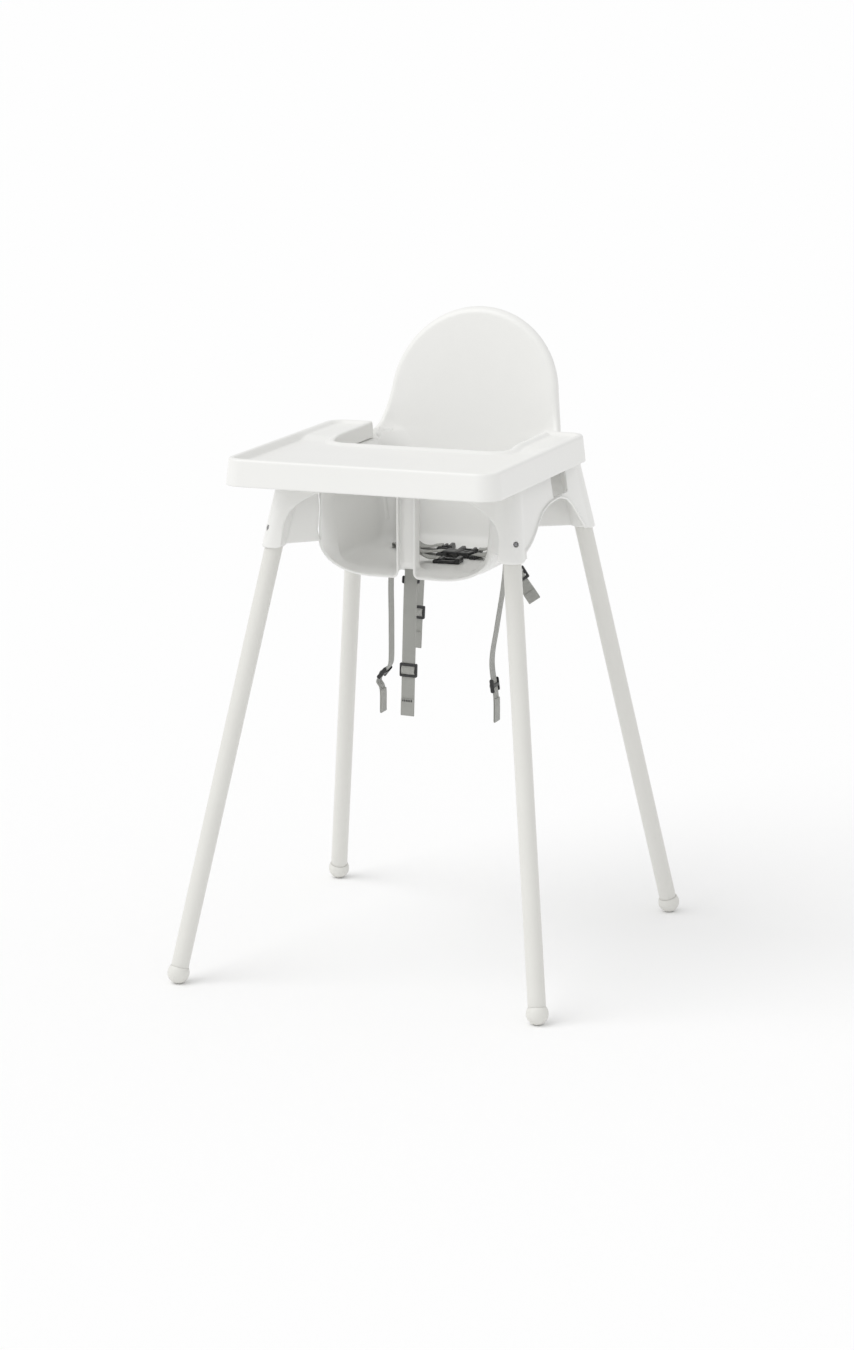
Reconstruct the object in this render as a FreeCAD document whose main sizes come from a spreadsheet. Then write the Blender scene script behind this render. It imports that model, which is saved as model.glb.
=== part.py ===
import FreeCAD, Part
import math
import os

import Sketcher
from FreeCAD import Placement, Rotation, Vector

# Baby high chair. Frame: origin on the floor under the middle of the four feet,
# +Z up, the child faces -Y, +X is on the right of someone who looks at the front.

os.makedirs("parts", exist_ok=True)
doc = FreeCAD.newDocument("HighChair")
sheet = doc.addObject("Spreadsheet::Sheet", "Sizes")

SIZES = [
    # legs and feet
    ("foot_x", 265.0),
    ("foot_y", 292.5),
    ("foot_radius", 15.5),
    ("foot_flat_drop", 0.5),
    ("foot_seat_height", 8.0),
    ("foot_stem_length", 38.0),
    ("leg_radius", 12.4),
    ("leg_wall", 1.2),
    ("leg_lean_x", 8.71),
    ("leg_lean_y", 13.77),
    ("leg_top_z", 704.0),
    # snap buttons and their springs
    ("button_z", 622.0),
    ("button_radius", 3.0),
    ("button_clearance", 0.05),
    ("button_reach", 15.6),
    ("button_flange_radius", 4.2),
    ("button_flange_thickness", 1.4),
    ("socket_hole_radius", 4.0),
    ("spring_width", 8.0),
    ("spring_thickness", 0.6),
    ("spring_length", 34.0),
    # seat shell
    ("shell_wall", 3.0),
    ("floor_bottom_z", 563.0),
    ("flange_top_z", 716.0),
    ("back_top_z", 900.0),
    ("back_arc_radius", 127.0),
    ("back_base_half_width", 134.0),
    ("socket_bottom_z", 601.0),
    ("socket_outer_radius", 15.5),
    ("socket_bore_radius", 12.6),
    ("apron_wall", 2.5),
    ("apron_offset", 15.8),
    ("front_wall_y", -87.0),
    ("opening_half_gap", 16.3),
    ("opening_outer_x", 122.0),
    ("opening_bottom_z", 564.0),
    ("opening_top_z", 690.0),
    ("opening_lip_y", -97.0),
    ("strap_slot_length", 24.0),
    ("strap_slot_width", 5.0),
    ("shoulder_slot_z", 660.0),
    ("shoulder_slot_x", 87.0),
    ("waist_slot_x", 84.0),
    ("waist_slot_y", 76.0),
    ("crotch_slot_y", -75.0),
    # tray
    ("tray_top_z", 740.8),
    ("tray_bottom_z", 703.4),
    ("tray_half_width", 194.6),
    ("tray_front_y", -275.7),
    ("tray_back_y", 109.2),
    ("tray_draft", 4.2),
    ("tray_wall", 2.8),
    ("tray_deck_z", 731.5),
    ("tray_rim_width", 9.0),
    ("cutout_half_width", 131.0),
    ("cutout_front_y", -57.0),
    # harness
    ("strap_width", 20.0),
    ("strap_thickness", 1.4),
    ("slider_length", 26.0),
    ("slider_width", 20.0),
    ("slider_thickness", 6.0),
    ("slider_channel", 2.0),
    ("slider_rail", 2.6),
    ("slider_bar", 4.0),
    ("slider_middle_bar", 5.0),
    ("stop_length", 26.0),
    ("stop_width", 11.0),
    ("buckle_width", 25.0),
    ("buckle_height", 9.0),
    ("buckle_socket_length", 34.0),
    ("buckle_tongue_length", 28.0),
    ("clip_height", 8.0),
    ("crotch_clip_length", 38.0),
    ("left_clip_length", 22.0),
    ("right_clip_length", 31.0),
]
for row, (alias, value) in enumerate(SIZES, start=1):
    sheet.set(f"A{row}", alias)
    sheet.set(f"B{row}", str(value))
    sheet.setAlias(f"B{row}", alias)
doc.recompute()


def size(alias):
    return float(sheet.get(alias))


SIDES = (("left", -1), ("right", 1))
CORNERS = (
    ("front_left", -1, -1),
    ("front_right", 1, -1),
    ("rear_left", -1, 1),
    ("rear_right", 1, 1),
)
nodes = []


def keep(item, label):
    """Marks a document object as one sub-part: its label is its file's name."""
    item.Label = label
    nodes.append(item)
    return item


def feature(label, shape, placement=None):
    """A sub-part whose shape is made by Part's own functions."""
    item = doc.addObject("Part::Feature", label)
    item.Shape = shape
    if placement is not None:
        item.Placement = placement
    return keep(item, label)


def bound(kind, name, **expressions):
    """A Part primitive whose sizes are bound to the sheet."""
    item = doc.addObject(kind, name)
    for prop, expression in expressions.items():
        item.setExpression(prop, expression)
    return item


def boolean(kind, name, first, second):
    """A Part boolean of two objects."""
    item = doc.addObject(kind, name)
    item.Base = first
    item.Tool = second
    return item


def fuse_all(shapes):
    return shapes[0].multiFuse(shapes[1:]).removeSplitter()


def box(x_low, y_low, z_low, x_high, y_high, z_high):
    return Part.makeBox(x_high - x_low, y_high - y_low, z_high - z_low, Vector(x_low, y_low, z_low))


# ---------------------------------------------------------------- leg axes
LEAN_X = math.tan(math.radians(size("leg_lean_x")))
LEAN_Y = math.tan(math.radians(size("leg_lean_y")))
FOOT_Z = size("foot_radius") - size("foot_flat_drop")


def leg_point(sign_x, sign_y, height):
    """The point of a leg's axis at a height above the floor."""
    rise = height - FOOT_Z
    return Vector(
        sign_x * (size("foot_x") - LEAN_X * rise),
        sign_y * (size("foot_y") - LEAN_Y * rise),
        height,
    )


def leg_frame(sign_x, sign_y, height):
    """Placement with +Z up the leg and +X out of the chair, square to the leg."""
    base = leg_point(sign_x, sign_y, height)
    along = (leg_point(sign_x, sign_y, height + 1) - base).normalize()
    diagonal = Vector(sign_x, sign_y, 0)
    outward = (diagonal - along * diagonal.dot(along)).normalize()
    across = along.cross(outward)
    matrix = FreeCAD.Matrix(
        outward.x, across.x, along.x, base.x,
        outward.y, across.y, along.y, base.y,
        outward.z, across.z, along.z, base.z,
        0, 0, 0, 1,
    )
    return Placement(matrix)


AXIS_RISE = 1 / math.sqrt(1 + LEAN_X ** 2 + LEAN_Y ** 2)


def along_leg(height):
    """Distance along a leg from the centre of its ball foot to a height."""
    return (height - FOOT_Z) / AXIS_RISE


# ---------------------------------------------------------------- outlines
def rounded_outline(half_x, y_front, y_back, front_radius, back_radius, sag, z):
    """Closed wire of eight edges: straight front and sides, arcs at the corners, bowed back."""
    side_end = y_back - sag - back_radius
    back_x = half_x - back_radius
    front_x = half_x - front_radius
    cos45 = math.sqrt(0.5)
    points = {
        "front_left": Vector(-front_x, y_front, z),
        "front_right": Vector(front_x, y_front, z),
        "side_front_right": Vector(half_x, y_front + front_radius, z),
        "side_back_right": Vector(half_x, side_end, z),
        "back_right": Vector(back_x, y_back - sag, z),
        "back_left": Vector(-back_x, y_back - sag, z),
        "side_back_left": Vector(-half_x, side_end, z),
        "side_front_left": Vector(-half_x, y_front + front_radius, z),
    }

    def corner(sign_x, center_x, center_y, radius, sign_y):
        return Vector(center_x + sign_x * radius * cos45, center_y + sign_y * radius * cos45, z)

    front_y = y_front + front_radius
    edges = [
        Part.LineSegment(points["front_left"], points["front_right"]),
        Part.Arc(points["front_right"], corner(1, front_x, front_y, front_radius, -1),
                 points["side_front_right"]),
        Part.LineSegment(points["side_front_right"], points["side_back_right"]),
        Part.Arc(points["side_back_right"], corner(1, back_x, side_end, back_radius, 1),
                 points["back_right"]),
        Part.Arc(points["back_right"], Vector(0, y_back, z), points["back_left"]),
        Part.Arc(points["back_left"], corner(-1, -back_x, side_end, back_radius, 1),
                 points["side_back_left"]),
        Part.LineSegment(points["side_back_left"], points["side_front_left"]),
        Part.Arc(points["side_front_left"], corner(-1, -front_x, front_y, front_radius, -1),
                 points["front_left"]),
    ]
    return Part.Wire([edge.toShape() for edge in edges])


def plain_outline(x_low, x_high, y_low, y_high, radius, z):
    """Closed rounded rectangle, all corners alike."""
    plate = box(x_low, y_low, z, x_high, y_high, z + 1)
    uprights = [
        edge for edge in plate.Edges
        if abs(edge.Vertexes[0].Z - edge.Vertexes[1].Z) > 0.5
    ]
    rounded = plate.makeFillet(radius, uprights)
    floor_face = min(rounded.Faces, key=lambda face: face.CenterOfMass.z)
    return floor_face.OuterWire


def prism_x(points, x_low, x_high):
    """Prism along X from (y, z) points."""
    wire = Part.makePolygon([Vector(x_low, y, z) for y, z in points + points[:1]])
    return Part.Face(wire).extrude(Vector(x_high - x_low, 0, 0))


def curved_prism(edges, direction):
    return Part.Face(Part.Wire([edge.toShape() for edge in edges])).extrude(direction)


# ---------------------------------------------------------------- seat shell
WALL = size("shell_wall")
FLANGE_TOP = size("flange_top_z")
FLOOR_BOTTOM = size("floor_bottom_z")
FRONT_WALL = size("front_wall_y")

# height, half width, front face, back face, front and back corner radii, bow of the back
TUB_SECTIONS = [
    (FLOOR_BOTTOM, 100.0, FRONT_WALL + 9, 100.0, 20.0, 34.0, 2.0),
    (FLOOR_BOTTOM + 2, 106.0, FRONT_WALL + 3, 107.0, 22.0, 36.0, 3.0),
    (FLOOR_BOTTOM + 8, 111.0, FRONT_WALL, 113.5, 22.0, 38.0, 4.0),
    (FLOOR_BOTTOM + 20, 114.0, FRONT_WALL, 119.0, 22.0, 40.0, 5.0),
    (640.0, 121.0, FRONT_WALL, 138.0, 22.0, 40.0, 7.0),
    (FLANGE_TOP, 130.0, FRONT_WALL - 1, 160.0, 22.0, 40.0, 9.0),
    (770.0, 132.0, FRONT_WALL - 1, 174.0, 22.0, 30.0, 8.0),
    (840.0, 132.0, FRONT_WALL - 1, 187.5, 22.0, 24.0, 5.0),
    (905.0, 132.0, FRONT_WALL - 1, 199.5, 22.0, 22.0, 3.0),
]


def tub_solid(grow, rise=0.0, back_grow=0.0):
    """Solid inside the tub and backrest's outline, grown or shrunk by a distance."""
    wires = []
    for z, half_x, y_front, y_back, front_radius, back_radius, sag in TUB_SECTIONS:
        wires.append(rounded_outline(
            half_x + grow, y_front - grow, y_back + grow + back_grow,
            front_radius + grow, back_radius + grow, sag, z + rise,
        ))
    return Part.makeLoft(wires, True, True)


def back_outline(radius, base_half_width, base_z):
    """Round-topped outline of the backrest, as a prism along Y behind the seat."""
    centre_z = size("back_top_z") - size("back_arc_radius")
    edges = [
        Part.LineSegment(Vector(-base_half_width, 90, base_z), Vector(base_half_width, 90, base_z)),
        Part.LineSegment(Vector(base_half_width, 90, base_z), Vector(radius, 90, centre_z)),
        Part.Arc(Vector(radius, 90, centre_z), Vector(0, 90, centre_z + radius),
                 Vector(-radius, 90, centre_z)),
        Part.LineSegment(Vector(-radius, 90, centre_z), Vector(-base_half_width, 90, base_z)),
    ]
    return curved_prism(edges, Vector(0, 130, 0))


def back_trim():
    """What stands in front of the backrest's edge: it rises from the armrests in a hollow curve."""
    edges = [
        Part.LineSegment(Vector(-160, -120, FLANGE_TOP), Vector(-160, 116, FLANGE_TOP)),
        Part.Arc(Vector(-160, 116, FLANGE_TOP), Vector(-160, 139, FLANGE_TOP + 11),
                 Vector(-160, 151, FLANGE_TOP + 32)),
        Part.LineSegment(Vector(-160, 151, FLANGE_TOP + 32), Vector(-160, 183, 845)),
        Part.LineSegment(Vector(-160, 183, 845), Vector(-160, 197, 910)),
        Part.LineSegment(Vector(-160, 197, 910), Vector(-160, -120, 910)),
        Part.LineSegment(Vector(-160, -120, 910), Vector(-160, -120, FLANGE_TOP)),
    ]
    return curved_prism(edges, Vector(320, 0, 0))


def leaning_block(offset, top_z, bottom_z, radius):
    """Block between the legs' outer sides, which spreads downwards with them."""
    wires = []
    for z in (bottom_z, top_z):
        corner = leg_point(1, 1, z)
        wires.append(plain_outline(-corner.x - offset, corner.x + offset,
                                   -corner.y - offset, corner.y + offset, radius, z))
    return Part.makeLoft(wires, True, True)


def side_arch(sign_x):
    """Cut under the side apron: a low arch, steeper at the rear leg."""
    x = sign_x * 120
    arch = [(-134, 590), (-134, 611), (-106, 620), (-84, 631), (-60, 646), (-30, 656),
            (5, 660), (45, 657), (72, 646), (96, 624), (122, 600), (122, 590)]
    points = [Vector(x, y, z) for y, z in arch[1:-1]]
    curve = Part.BSplineCurve()
    curve.interpolate(points)
    bottom = [Vector(x, arch[-2][0], arch[-2][1]), Vector(x, 122, 590),
              Vector(x, -134, 590), Vector(x, arch[1][0], arch[1][1])]
    edges = [curve] + [Part.LineSegment(a, b) for a, b in zip(bottom, bottom[1:])]
    return curved_prism(edges, Vector(sign_x * 90, 0, 0))


def side_window(sign_x):
    """Opening above the arch, in front of the rear leg."""
    points = [(4, 666), (68, 664), (62, 703), (4, 703)]
    x_low, x_high = sorted((sign_x * 140, sign_x * 200))
    return prism_x(points, x_low, x_high)


def front_arch(sign_y):
    """Cut under the front or rear apron: half an ellipse between two legs."""
    y = sign_y * 110
    points = [Vector(x, y, z) for x, z in (
        (-158, 630), (-148, 650), (-127, 670), (-95, 684), (-50, 694), (0, 697),
        (50, 694), (95, 684), (127, 670), (148, 650), (158, 630))]
    curve = Part.BSplineCurve()
    curve.interpolate(points)
    bottom = [points[-1], Vector(158, y, 590), Vector(-158, y, 590), points[0]]
    edges = [curve] + [Part.LineSegment(a, b) for a, b in zip(bottom, bottom[1:])]
    return curved_prism(edges, Vector(0, sign_y * 90, 0))


def opening_prism(sign_x, grow, y_front, y_back):
    """Leg opening in the tub's front: square to the post, well rounded on the outer side."""
    inner = size("opening_half_gap") - grow
    outer = size("opening_outer_x") + grow
    bottom = size("opening_bottom_z") - grow
    top = size("opening_top_z") + grow
    big = 38.0 + grow
    small = 6.0 + grow
    x_low, x_high = sorted((sign_x * inner, sign_x * outer))
    block = box(x_low, y_front, bottom, x_high, y_back, top)

    def is_edge(edge, x, z):
        centre = edge.CenterOfMass
        return abs(centre.x - x) < 0.01 and abs(centre.z - z) < 0.01

    def pick(x, z):
        return [edge for edge in block.Edges if is_edge(edge, x, z)]

    block = block.makeFillet(big, pick(sign_x * outer, bottom))
    block = block.makeFillet(small, pick(sign_x * inner, bottom))
    return block.makeFillet(small, pick(sign_x * inner, top) + pick(sign_x * outer, top))


def radial_web(sign_x, sign_y):
    """Upright web from a leg socket in to the tub's corner."""
    low = size("socket_bottom_z") + 1
    outer = leg_point(sign_x, sign_y, low)
    inner = Vector(sign_x * 96, sign_y * (70 if sign_y < 0 else 96), low)
    direction = (inner - outer).normalize()
    side = Vector(-direction.y, direction.x, 0) * (size("apron_wall") / 2)
    base = [outer + side, inner + side, inner - side, outer - side]
    face = Part.Face(Part.makePolygon(base + base[:1]))
    return face.extrude(Vector(0, 0, FLANGE_TOP - 2 - low))


def seat_shell():
    outer = tub_solid(0.0)
    inner = tub_solid(-WALL, rise=WALL)
    thick_back = tub_solid(0.0, back_grow=5.0)
    apron_wall = size("apron_wall")
    offset = size("apron_offset")
    low_z = size("socket_bottom_z") - 12

    whole_back = back_outline(size("back_arc_radius"), size("back_base_half_width"), FLANGE_TOP - 6)
    small_back = back_outline(size("back_arc_radius") - 11, size("back_base_half_width") - 12,
                              FLANGE_TOP - 7)
    upper = box(-200, -200, FLANGE_TOP - 6, 200, 260, 910)

    tub = outer.cut(upper)
    back = outer.cut(back_trim()).common(whole_back)
    rim = thick_back.cut(outer).cut(back_trim()).common(whole_back).cut(small_back)
    rim = rim.common(box(-150, 100, FLANGE_TOP + 4, 150, 220, 901))

    apron = leaning_block(offset, FLANGE_TOP, low_z, offset)
    apron_inner = leaning_block(offset - apron_wall, FLANGE_TOP - WALL, low_z - 1, offset - apron_wall)
    apron = apron.cut(apron_inner)
    for sign in (-1, 1):
        apron = apron.cut(side_arch(sign)).cut(side_window(sign)).cut(front_arch(sign))
    apron = apron.cut(box(-260, -260, low_z - 20, 260, 260, size("socket_bottom_z") + 1))

    added = [tub, back, rim, apron]
    bores = []
    for name, sign_x, sign_y in CORNERS:
        frame = leg_frame(sign_x, sign_y, FOOT_Z)
        start = along_leg(size("socket_bottom_z"))
        end = along_leg(FLANGE_TOP + 8)
        tube = Part.makeCylinder(size("socket_outer_radius"), end - start, Vector(0, 0, start))
        bore_end = along_leg(size("leg_top_z") + 2)
        bore = Part.makeCylinder(size("socket_bore_radius"), bore_end - start + 10,
                                 Vector(0, 0, start - 10))
        hole = Part.makeCylinder(size("socket_hole_radius"), 12,
                                 Vector(8, 0, along_leg(size("button_z"))), Vector(1, 0, 0))
        for shape in (tube, bore, hole):
            shape.Placement = frame
        added.append(tube.cut(box(-260, -260, FLANGE_TOP - 0.5, 260, 260, FLANGE_TOP + 60)))
        added.append(radial_web(sign_x, sign_y))
        bores += [bore, hole]

    lips = []
    openings = []
    for name, sign_x in SIDES:
        lip_y = size("opening_lip_y")
        ring = opening_prism(sign_x, 3.0, lip_y, FRONT_WALL + 5)
        lips.append(ring)
        openings.append(opening_prism(sign_x, 0.0, lip_y - 5, FRONT_WALL + 6))
    added += lips

    shell = fuse_all(added)
    shell = shell.cut(inner)
    half = size("strap_slot_length") / 2
    thin = size("strap_slot_width") / 2
    slots = [box(-half, size("crotch_slot_y") - thin, 550, half, size("crotch_slot_y") + thin, 575)]
    for name, sign_x in SIDES:
        x = sign_x * size("waist_slot_x")
        slots.append(box(x - thin, size("waist_slot_y") - half, 550,
                         x + thin, size("waist_slot_y") + half, 575))
        x = sign_x * size("shoulder_slot_x")
        z = size("shoulder_slot_z")
        slots.append(box(x - half, 110, z - thin, x + half, 175, z + thin))
    shell = shell.cut(Part.makeCompound(openings + bores + slots))
    solids = sorted(shell.Solids, key=lambda solid: solid.Volume)
    return solids[-1]


# ---------------------------------------------------------------- tray
def tray_outline(grow, z, radius):
    return plain_outline(-size("tray_half_width") - grow, size("tray_half_width") + grow,
                         size("tray_front_y") - grow, size("tray_back_y") + grow, radius, z)


def cutout_prism(grow, z_low, z_high):
    """Room for the child: open at the back, rounded at its front corners."""
    half = size("cutout_half_width") + grow
    wire = plain_outline(-half, half, size("cutout_front_y") - grow,
                         size("tray_back_y") + 60, 26 + grow, z_low)
    return Part.Face(wire).extrude(Vector(0, 0, z_high - z_low))


def tray():
    wall = size("tray_wall")
    top = size("tray_top_z")
    bottom = size("tray_bottom_z")
    deck = size("tray_deck_z")
    rim = size("tray_rim_width")
    draft = size("tray_draft")
    outer = Part.makeLoft([tray_outline(draft, bottom, 26), tray_outline(0, top, 24)], True, True)
    slope = draft / (top - bottom)
    under_top = deck - wall
    hollow = Part.makeLoft([
        tray_outline(draft + slope - wall, bottom - 1, 23),
        tray_outline((top - under_top) * slope - wall, under_top, 21.5),
    ], True, True)
    dish = Part.makeLoft([tray_outline(-rim - 2, deck, 15), tray_outline(-rim, top + 1, 17)], True, True)
    shell = outer.cut(hollow).cut(dish)
    ridge_top = deck + 4.0
    skirt = cutout_prism(wall, FLANGE_TOP + 0.4, ridge_top)
    ridge = cutout_prism(12, deck - wall, ridge_top - 1.5)
    trim = Part.makeLoft([tray_outline(draft - 0.2, bottom, 26), tray_outline(-0.2, top, 24)], True, True)
    shell = fuse_all([shell, skirt.common(trim), ridge.common(trim)])
    shell = shell.cut(cutout_prism(0, bottom - 5, top + 5))
    # behind, the arms' end walls stop above the armrests
    edge = leg_point(1, 1, FLANGE_TOP)
    armrest_x = edge.x + size("apron_offset") + 3.0
    shell = shell.cut(box(-armrest_x, size("tray_back_y") - 10, bottom - 5,
                          armrest_x, size("tray_back_y") + 10, FLANGE_TOP + 0.4))
    # ribs that stand just outside the armrest flange and keep the tray from sliding
    ribs = []
    for name, sign_x in SIDES:
        for y_centre in (-110, -20, 70):
            x_low, x_high = sorted((sign_x * armrest_x, sign_x * (size("tray_half_width") + 0.5)))
            ribs.append(box(x_low, y_centre - 1.25, FLANGE_TOP - 6, x_high, y_centre + 1.25, deck - 1))
    return fuse_all([shell] + ribs)


# ---------------------------------------------------------------- legs and feet
def make_leg(name, sign_x, sign_y):
    frame = leg_frame(sign_x, sign_y, FOOT_Z)
    start = size("foot_seat_height")
    outer = bound("Part::Cylinder", f"tube_{name}", Radius="Sizes.leg_radius")
    outer.Height = along_leg(size("leg_top_z")) - start
    bore = bound("Part::Cylinder", f"tube_bore_{name}", Radius="Sizes.leg_radius - Sizes.leg_wall")
    bore.Height = outer.Height.Value + 2
    bore.Placement = Placement(Vector(0, 0, -1), Rotation())
    hollow = boolean("Part::Cut", f"tube_hollow_{name}", outer, bore)
    hole = bound("Part::Cylinder", f"tube_hole_{name}",
                 Radius="Sizes.button_radius + Sizes.button_clearance")
    hole.Height = 2 * size("leg_radius")
    hole.Placement = Placement(Vector(0, 0, along_leg(size("button_z")) - start),
                               Rotation(Vector(0, 1, 0), 90))
    leg = boolean("Part::Cut", f"leg_{name}", hollow, hole)
    leg.Placement = frame.multiply(Placement(Vector(0, 0, start), Rotation()))
    return keep(leg, f"leg_{name}")


def make_foot(name, sign_x, sign_y):
    frame = leg_frame(sign_x, sign_y, FOOT_Z)
    ball = Part.makeSphere(size("foot_radius"))
    ball = ball.cut(Part.makeCylinder(size("leg_radius") + 0.1, 30, Vector(0, 0, size("foot_seat_height"))))
    stem_radius = size("leg_radius") - size("leg_wall") - 0.1
    stem = Part.makeCylinder(stem_radius, size("foot_stem_length"))
    foot = fuse_all([ball, stem])
    foot.Placement = frame
    return feature(f"foot_{name}", foot.cut(box(-400, -400, -40, 400, 400, 0)))


def button_flange_out():
    """How far out the flange's face reaches before its edge meets the round wall."""
    bore = size("leg_radius") - size("leg_wall")
    return math.sqrt(bore ** 2 - size("button_flange_radius") ** 2) - 0.3


def make_button(name, sign_x, sign_y):
    """Domed pin with a flange inside the tube; its axis is the local X of the leg."""
    frame = leg_frame(sign_x, sign_y, FOOT_Z)
    radius = size("button_radius")
    reach = size("button_reach")
    flange_out = button_flange_out()
    flange_in = flange_out - size("button_flange_thickness")
    dome = 1.2
    dome_start = reach - dome
    tip = 0.35 * radius
    profile = [
        Part.LineSegment(Vector(flange_in, 0, 0), Vector(flange_in, 0, size("button_flange_radius"))),
        Part.LineSegment(Vector(flange_in, 0, size("button_flange_radius")),
                         Vector(flange_out, 0, size("button_flange_radius"))),
        Part.LineSegment(Vector(flange_out, 0, size("button_flange_radius")),
                         Vector(flange_out, 0, radius)),
        Part.LineSegment(Vector(flange_out, 0, radius), Vector(dome_start, 0, radius)),
        Part.Arc(Vector(dome_start, 0, radius),
                 Vector(dome_start + 0.75 * dome, 0, 0.75 * radius), Vector(reach, 0, tip)),
        Part.LineSegment(Vector(reach, 0, tip), Vector(reach, 0, 0)),
        Part.LineSegment(Vector(reach, 0, 0), Vector(flange_in, 0, 0)),
    ]
    face = Part.Face(Part.Wire([edge.toShape() for edge in profile]))
    pin = face.revolve(Vector(0, 0, 0), Vector(1, 0, 0), 360)
    lift = Placement(Vector(0, 0, along_leg(size("button_z"))), Rotation())
    return feature(f"leg_button_{name}", pin, frame.multiply(lift))


def make_spring(name, sign_x, sign_y):
    """Leaf bent into a V: one arm behind the button's flange, the other on the far wall."""
    frame = leg_frame(sign_x, sign_y, FOOT_Z)
    bore = size("leg_radius") - size("leg_wall")
    thick = size("spring_thickness")
    length = size("spring_length")
    flange_in = button_flange_out() - size("button_flange_thickness")
    near = flange_in - 0.1
    # the leaf's far arm is narrow, so it can lie close to the round wall
    far = -math.sqrt(bore ** 2 - (size("spring_width") / 2) ** 2) + 0.2
    outline = [
        (near, 8), (near, -6), (2, -length), (-2, -length), (far, -8), (far, 8),
        (far + thick, 8), (far + thick, -8), (-1.6, thick - length),
        (1.6, thick - length), (near - thick, -6), (near - thick, 8),
    ]
    half = size("spring_width") / 2
    points = [Vector(x, -half, z) for x, z in outline]
    face = Part.Face(Part.makePolygon(points + points[:1]))
    leaf = face.extrude(Vector(0, 2 * half, 0))
    lift = Placement(Vector(0, 0, along_leg(size("button_z"))), Rotation())
    return feature(f"leg_spring_{name}", leaf, frame.multiply(lift))


# ---------------------------------------------------------------- webbing
HALF_STRAP = size("strap_width") / 2
HALF_WEB = size("strap_thickness") / 2


def ribbon(stations):
    """Closed solid of a strap: a flat section carried from point to point.

    A station is a point on the strap's middle line and the direction across it,
    or None to carry the last direction on without a twist."""
    points = [Vector(*point) for point, width in stations]
    count = len(points)
    across = None
    loops = []
    for index, (point, width) in enumerate(stations):
        point = points[index]
        ahead = points[min(index + 1, count - 1)]
        behind = points[max(index - 1, 0)]
        tangent = (ahead - behind).normalize()
        wanted = across if width is None else Vector(*width)
        across = (wanted - tangent * wanted.dot(tangent)).normalize()
        side = across * HALF_STRAP
        thick = tangent.cross(across) * HALF_WEB
        loops.append([point + side + thick, point - side + thick,
                      point - side - thick, point + side - thick])
    faces = [Part.Face(Part.makePolygon(loop + loop[:1])) for loop in (loops[0], loops[-1])]
    for low, high in zip(loops, loops[1:]):
        for corner in range(4):
            following = (corner + 1) % 4
            faces.append(Part.makeRuledSurface(
                Part.makeLine(low[corner], low[following]),
                Part.makeLine(high[corner], high[following]),
            ))
    skin = Part.makeShell(faces)
    skin.sewShape()
    strap = Part.makeSolid(skin)
    if strap.Volume < 0:
        strap.reverse()
    length = sum((end - start).Length for start, end in zip(points, points[1:]))
    section = size("strap_width") * size("strap_thickness")
    print(f"strap {length:.0f} mm long, volume {strap.Volume / section / length:.3f} of section x length")
    return strap


# Each strap is listed from its free end, below the seat, to its buckle on the seat. The right
# waist strap stops short of the tongue's tail, so that the tongue can slide out under it.
X_WAY = (1, 0, 0)
Y_WAY = (0, 1, 0)
CROTCH_STRAP = [
    ((-3, -84, 360), X_WAY), ((1, -84, 510), X_WAY), ((1, -81, 543), X_WAY), ((0.2, -75.6, 560), X_WAY),
    ((0, -75, 567), X_WAY), ((0, -71, 579), (1, -0.15, 0)), ((-3, -61, 586), (0.85, -0.5, 0)),
    ((-6, -46, 586), (0.75, -0.65, 0)), ((-6, -34, 581), (0.6, -0.8, 0)), ((-2.5, -23, 576), (0.4, -0.9, 0)),
    ((4.5, -16.2, 573), (0.15, -1, 0)), ((11.5, -14.4, 572.4), (0.1, -1, 0)), ((17.5, -13.5, 572.4), (0.1, -1, 0)),
]
WAIST_LEFT_STRAP = [
    ((-104.4, 76, 322.7), Y_WAY), ((-105.5, 76, 359), None), ((-110.5, 76, 369.2), None),
    ((-92.3, 76, 391.8), None), ((-90.8, 76, 400), None), ((-90.4, 76, 459.7), None),
    ((-90.4, 76, 521.7), None), ((-87, 76, 548), None), ((-84, 76, 560), None), ((-84, 76, 567), Y_WAY),
    ((-81.5, 75, 572.3), None), ((-76.5, 71, 573.5), (0.3, 0.95, 0)), ((-66, 64, 570.5), (0.5, 0.87, 0)),
    ((-52, 56.5, 568.2), (0.5, 0.87, 0)), ((-37, 49.5, 567.6), (0.55, 0.83, 0)), ((-24, 43.5, 568.2), (0.45, 0.9, 0)),
    ((-13, 39, 570.2), (0.25, 0.97, 0)), ((-4, 37.8, 572.1), (0.14, 1, 0)), ((5.2, 36.6, 572.2), (0.13, 1, 0)),
]
WAIST_RIGHT_STRAP = [
    ((70.6, 76, 322.7), Y_WAY), ((70.1, 76, 358.7), None), ((64.1, 76, 408.7), None),
    ((71.6, 76, 460.7), None), ((80.6, 76, 516.7), None), ((84, 76, 547), None), ((84, 76, 567), Y_WAY),
    ((83.5, 75, 576), (0.15, 1, 0)), ((83, 71, 584), (0.5, 0.8, 0.1)), ((84, 62, 588), (0.9, 0.3, 0.2)),
    ((87, 54, 586.5), (0.9, 0.1, 0.4)), ((88.8, 46, 583.5), (0.6, 0.1, 0.8)), ((88.2, 39, 580.5), (0.2, 0.25, 0.95)),
    ((84.6, 33, 578), (0.1, 0.5, 0.85)), ((78, 28.6, 575.6), (0.12, 0.75, 0.6)), ((70.8, 27.3, 573.5), (0.13, 0.95, 0.2)),
    ((63.2, 28.4, 572.3), (0.13, 1, 0)),
]
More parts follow.
